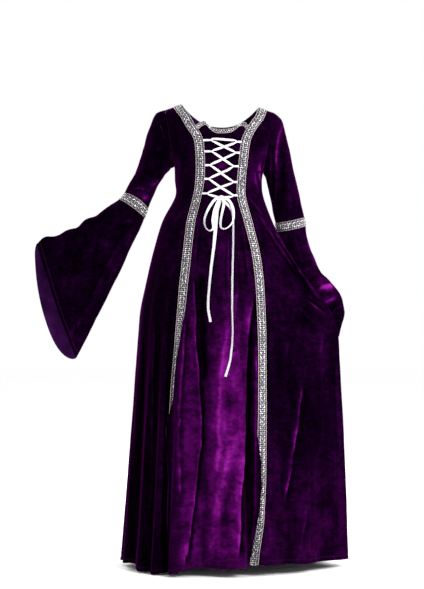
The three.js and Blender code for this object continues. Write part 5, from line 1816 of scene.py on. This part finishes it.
def lacing():
    """The crossed lace: from the knot up one way, across the top and down the other."""
    order = list(range(len(LACE_ROWS["right"])))
    names = ["left", "right"]
    stops = [(names[i % 2], n, 1) for i, n in enumerate(reversed(order))]
    other = names[1 - names.index(stops[-1][0])]
    stops += [(names[(names.index(other) + i) % 2], n, -1) for i, n in enumerate(order)]
    behind = (KNOT["out"] - LACE_OUT) / KNOT["deep"]
    gap = KNOT["wide"] * math.sqrt(1 - behind**2) + 1.5 * KNOT_GAP
    flat = [(KNOT["x"] + gap, KNOT["z"] + 1, LACE_OUT)]
    for i, (name, n, up) in enumerate(stops):
        side = SIDES[name]
        eye = loop_eye(name, n)
        z = LACE_ROWS[name][n]
        flat += [(eye - side * into, z + up * rise, LACE_OUT) for into, rise in zip(*THROUGH.values())]
        if i < len(stops) - 1 and i != len(order) - 1:
            after, m, way = stops[i + 1]
            x = loop_eye(after, m) - SIDES[after] * THROUGH["into"][0]
            end_z = LACE_ROWS[after][m] + way * THROUGH["up"][0]
            over = up * (-1 if i % 2 else 1) * CROSS_OUT
            from_x, from_z, _ = flat[-1]
            for t, rise in zip(*CROSSING.values()):
                flat.append((mix(from_x, x, t), mix(from_z, end_z, t), LACE_OUT + over * rise))
    flat.append((KNOT["x"] - gap, KNOT["z"] + 1, LACE_OUT))
    flat = np.array(flat)
    points, normals = on_front(flat[:, 0], flat[:, 1], flat[:, 2])
    line = smooth_line(points, 560)
    nearest = np.linalg.norm(line[:, None] - points[None], axis=-1)
    weights = np.exp(-((nearest / 12) ** 2))
    blended = unit(weights @ normals)
    eyes = [on_front(loop_eye(name, n), LACE_ROWS[name][n], LACE_OUT)[0][0] for name in SIDES for n in order]
    off = np.linalg.norm(line[:, None] - np.array(eyes)[None], axis=-1).min(axis=1)
    piece = ribbon("lacing_satin", line, blended, LACE_WIDTH * mix(0.42, 1.1, smooth(off / 17)), curl=0.2)
    keep(piece, "satin", "lacing")


def knot_middle():
    y = float(on_front(KNOT["x"], KNOT["z"], 0)[0][0][1]) - KNOT["out"]
    return np.array([KNOT["x"], y, KNOT["z"]])


def knot_seat(direction):
    """A place just clear of the knot, in a direction from its middle: across, forward, down."""
    across, forward, down = direction
    way = unit(np.array([across, -forward, -down], float))
    size = np.array([KNOT["wide"], KNOT["deep"], KNOT["high"]])
    return knot_middle() + way * size + unit(way / size) * KNOT_GAP


def route_line(route, width, start, count, end=None):
    points = [knot_seat(start)]
    for x, z, out in zip(route["x"], route["z"], route["out"]):
        points.append(np.array([x, front_y(x, z, width / 2) - out, z]))
    if end:
        points.append(knot_seat(end))
    return smooth_line(points, count)


def keep_cord(piece, label):
    """A ribbon that hangs free, kept as the other pieces are."""
    keep(piece, "satin", label)


def bow_loop(name):
    """A drooping loop of the bow, flat to the front at the knot and turned round the bend."""
    seats = KNOT_SEATS[name]
    line = route_line(BOW_LOOPS[name], BOW_WIDTH, seats["outer"], 90, seats["inner"])
    t = np.linspace(0, 1, len(line))
    turn = np.radians(mix(10, 62, np.sin(math.pi * t) ** 2))[:, None]
    radial = (line - line.mean(axis=0)) * np.array([1, 0, 1])
    normals = unit(unit(radial) * np.sin(turn) + np.array([0, -1, 0]) * np.cos(turn))
    piece = ribbon(f"bow_loop_{name}_satin", line, normals, BOW_WIDTH)
    keep_cord(piece, f"bow_loop_{name}")


def lace_tail(name):
    """A free end of the lace, which turns edge on in places."""
    line = route_line(TAILS[name], TAIL_WIDTH, KNOT_SEATS[name]["tail"], 150)
    t = np.linspace(0, 1, len(line))
    look = TAIL_LOOK[name]
    along = along_of(line)
    normals = unit(np.cross(along, np.array([1.0, 0, 0])))
    normals = rolled(along, normals, np.interp(t, look["t"], look["roll"]) * smooth(t * 12))
    widths = TAIL_WIDTH * np.interp(t, look["t"], look["wide"])
    piece = ribbon(f"lace_tail_{name}_satin", line, normals, widths)
    keep_cord(piece, f"lace_tail_{name}")


def bow_knot():
    """The knot: a short ribbon wrapped round the crossing, puffed, with folds running into it."""
    rows, sides = 25, 48
    v = np.linspace(-math.pi / 2, math.pi / 2, rows)[:, None]
    u = np.linspace(0, 2 * math.pi, sides, endpoint=False)[None, :]
    pleats = 1 + 0.05 * np.sin(9 * u + 2 * np.sin(v)) * np.cos(v) ** 0.5
    waist = 1 - 0.16 * np.exp(-((v / 0.5) ** 2)) * np.abs(np.cos(u)) ** 6
    x = KNOT["wide"] * np.sign(np.cos(u)) * np.abs(np.cos(u)) ** 0.85 * np.cos(v) ** 0.7 * waist
    y = KNOT["deep"] * np.sin(u) * np.cos(v) ** 0.7 * pleats
    z = KNOT["high"] * np.sin(v) * np.ones_like(u)
    ball = np.stack(np.broadcast_arrays(x * 0.97, y, z), -1) + knot_middle()
    piece = new_mesh_object("bow_knot_satin", ball.reshape(-1, 3), grid_faces(rows, sides, 0, True), [SATIN])
    weld = piece.modifiers.new("poles", "WELD")
    weld.merge_threshold = 1e-5
    apply_modifier(piece, weld)
    keep(piece, "satin", "bow_knot")


add_camera()
add_studio()
for side_name in SIDES:
    bow_loop(side_name)
for side_name in SIDES:
    lace_tail(side_name)
neck_band = [values[:NECK_ROWS].transpose(1, 0, 2) for values in front_panel()]
braid("neck_trim", *neck_band, narrow=True)
for side_name in SIDES:
    braid(f"front_trim_{side_name}", *side_front(side_name))
    braid(f"elbow_trim_{side_name}", *sleeve(side_name), ring=True)
    for row in range(len(LACE_ROWS["right"])):
        lace_loop(side_name, row)
back_panel()
lacing()
bow_knot()
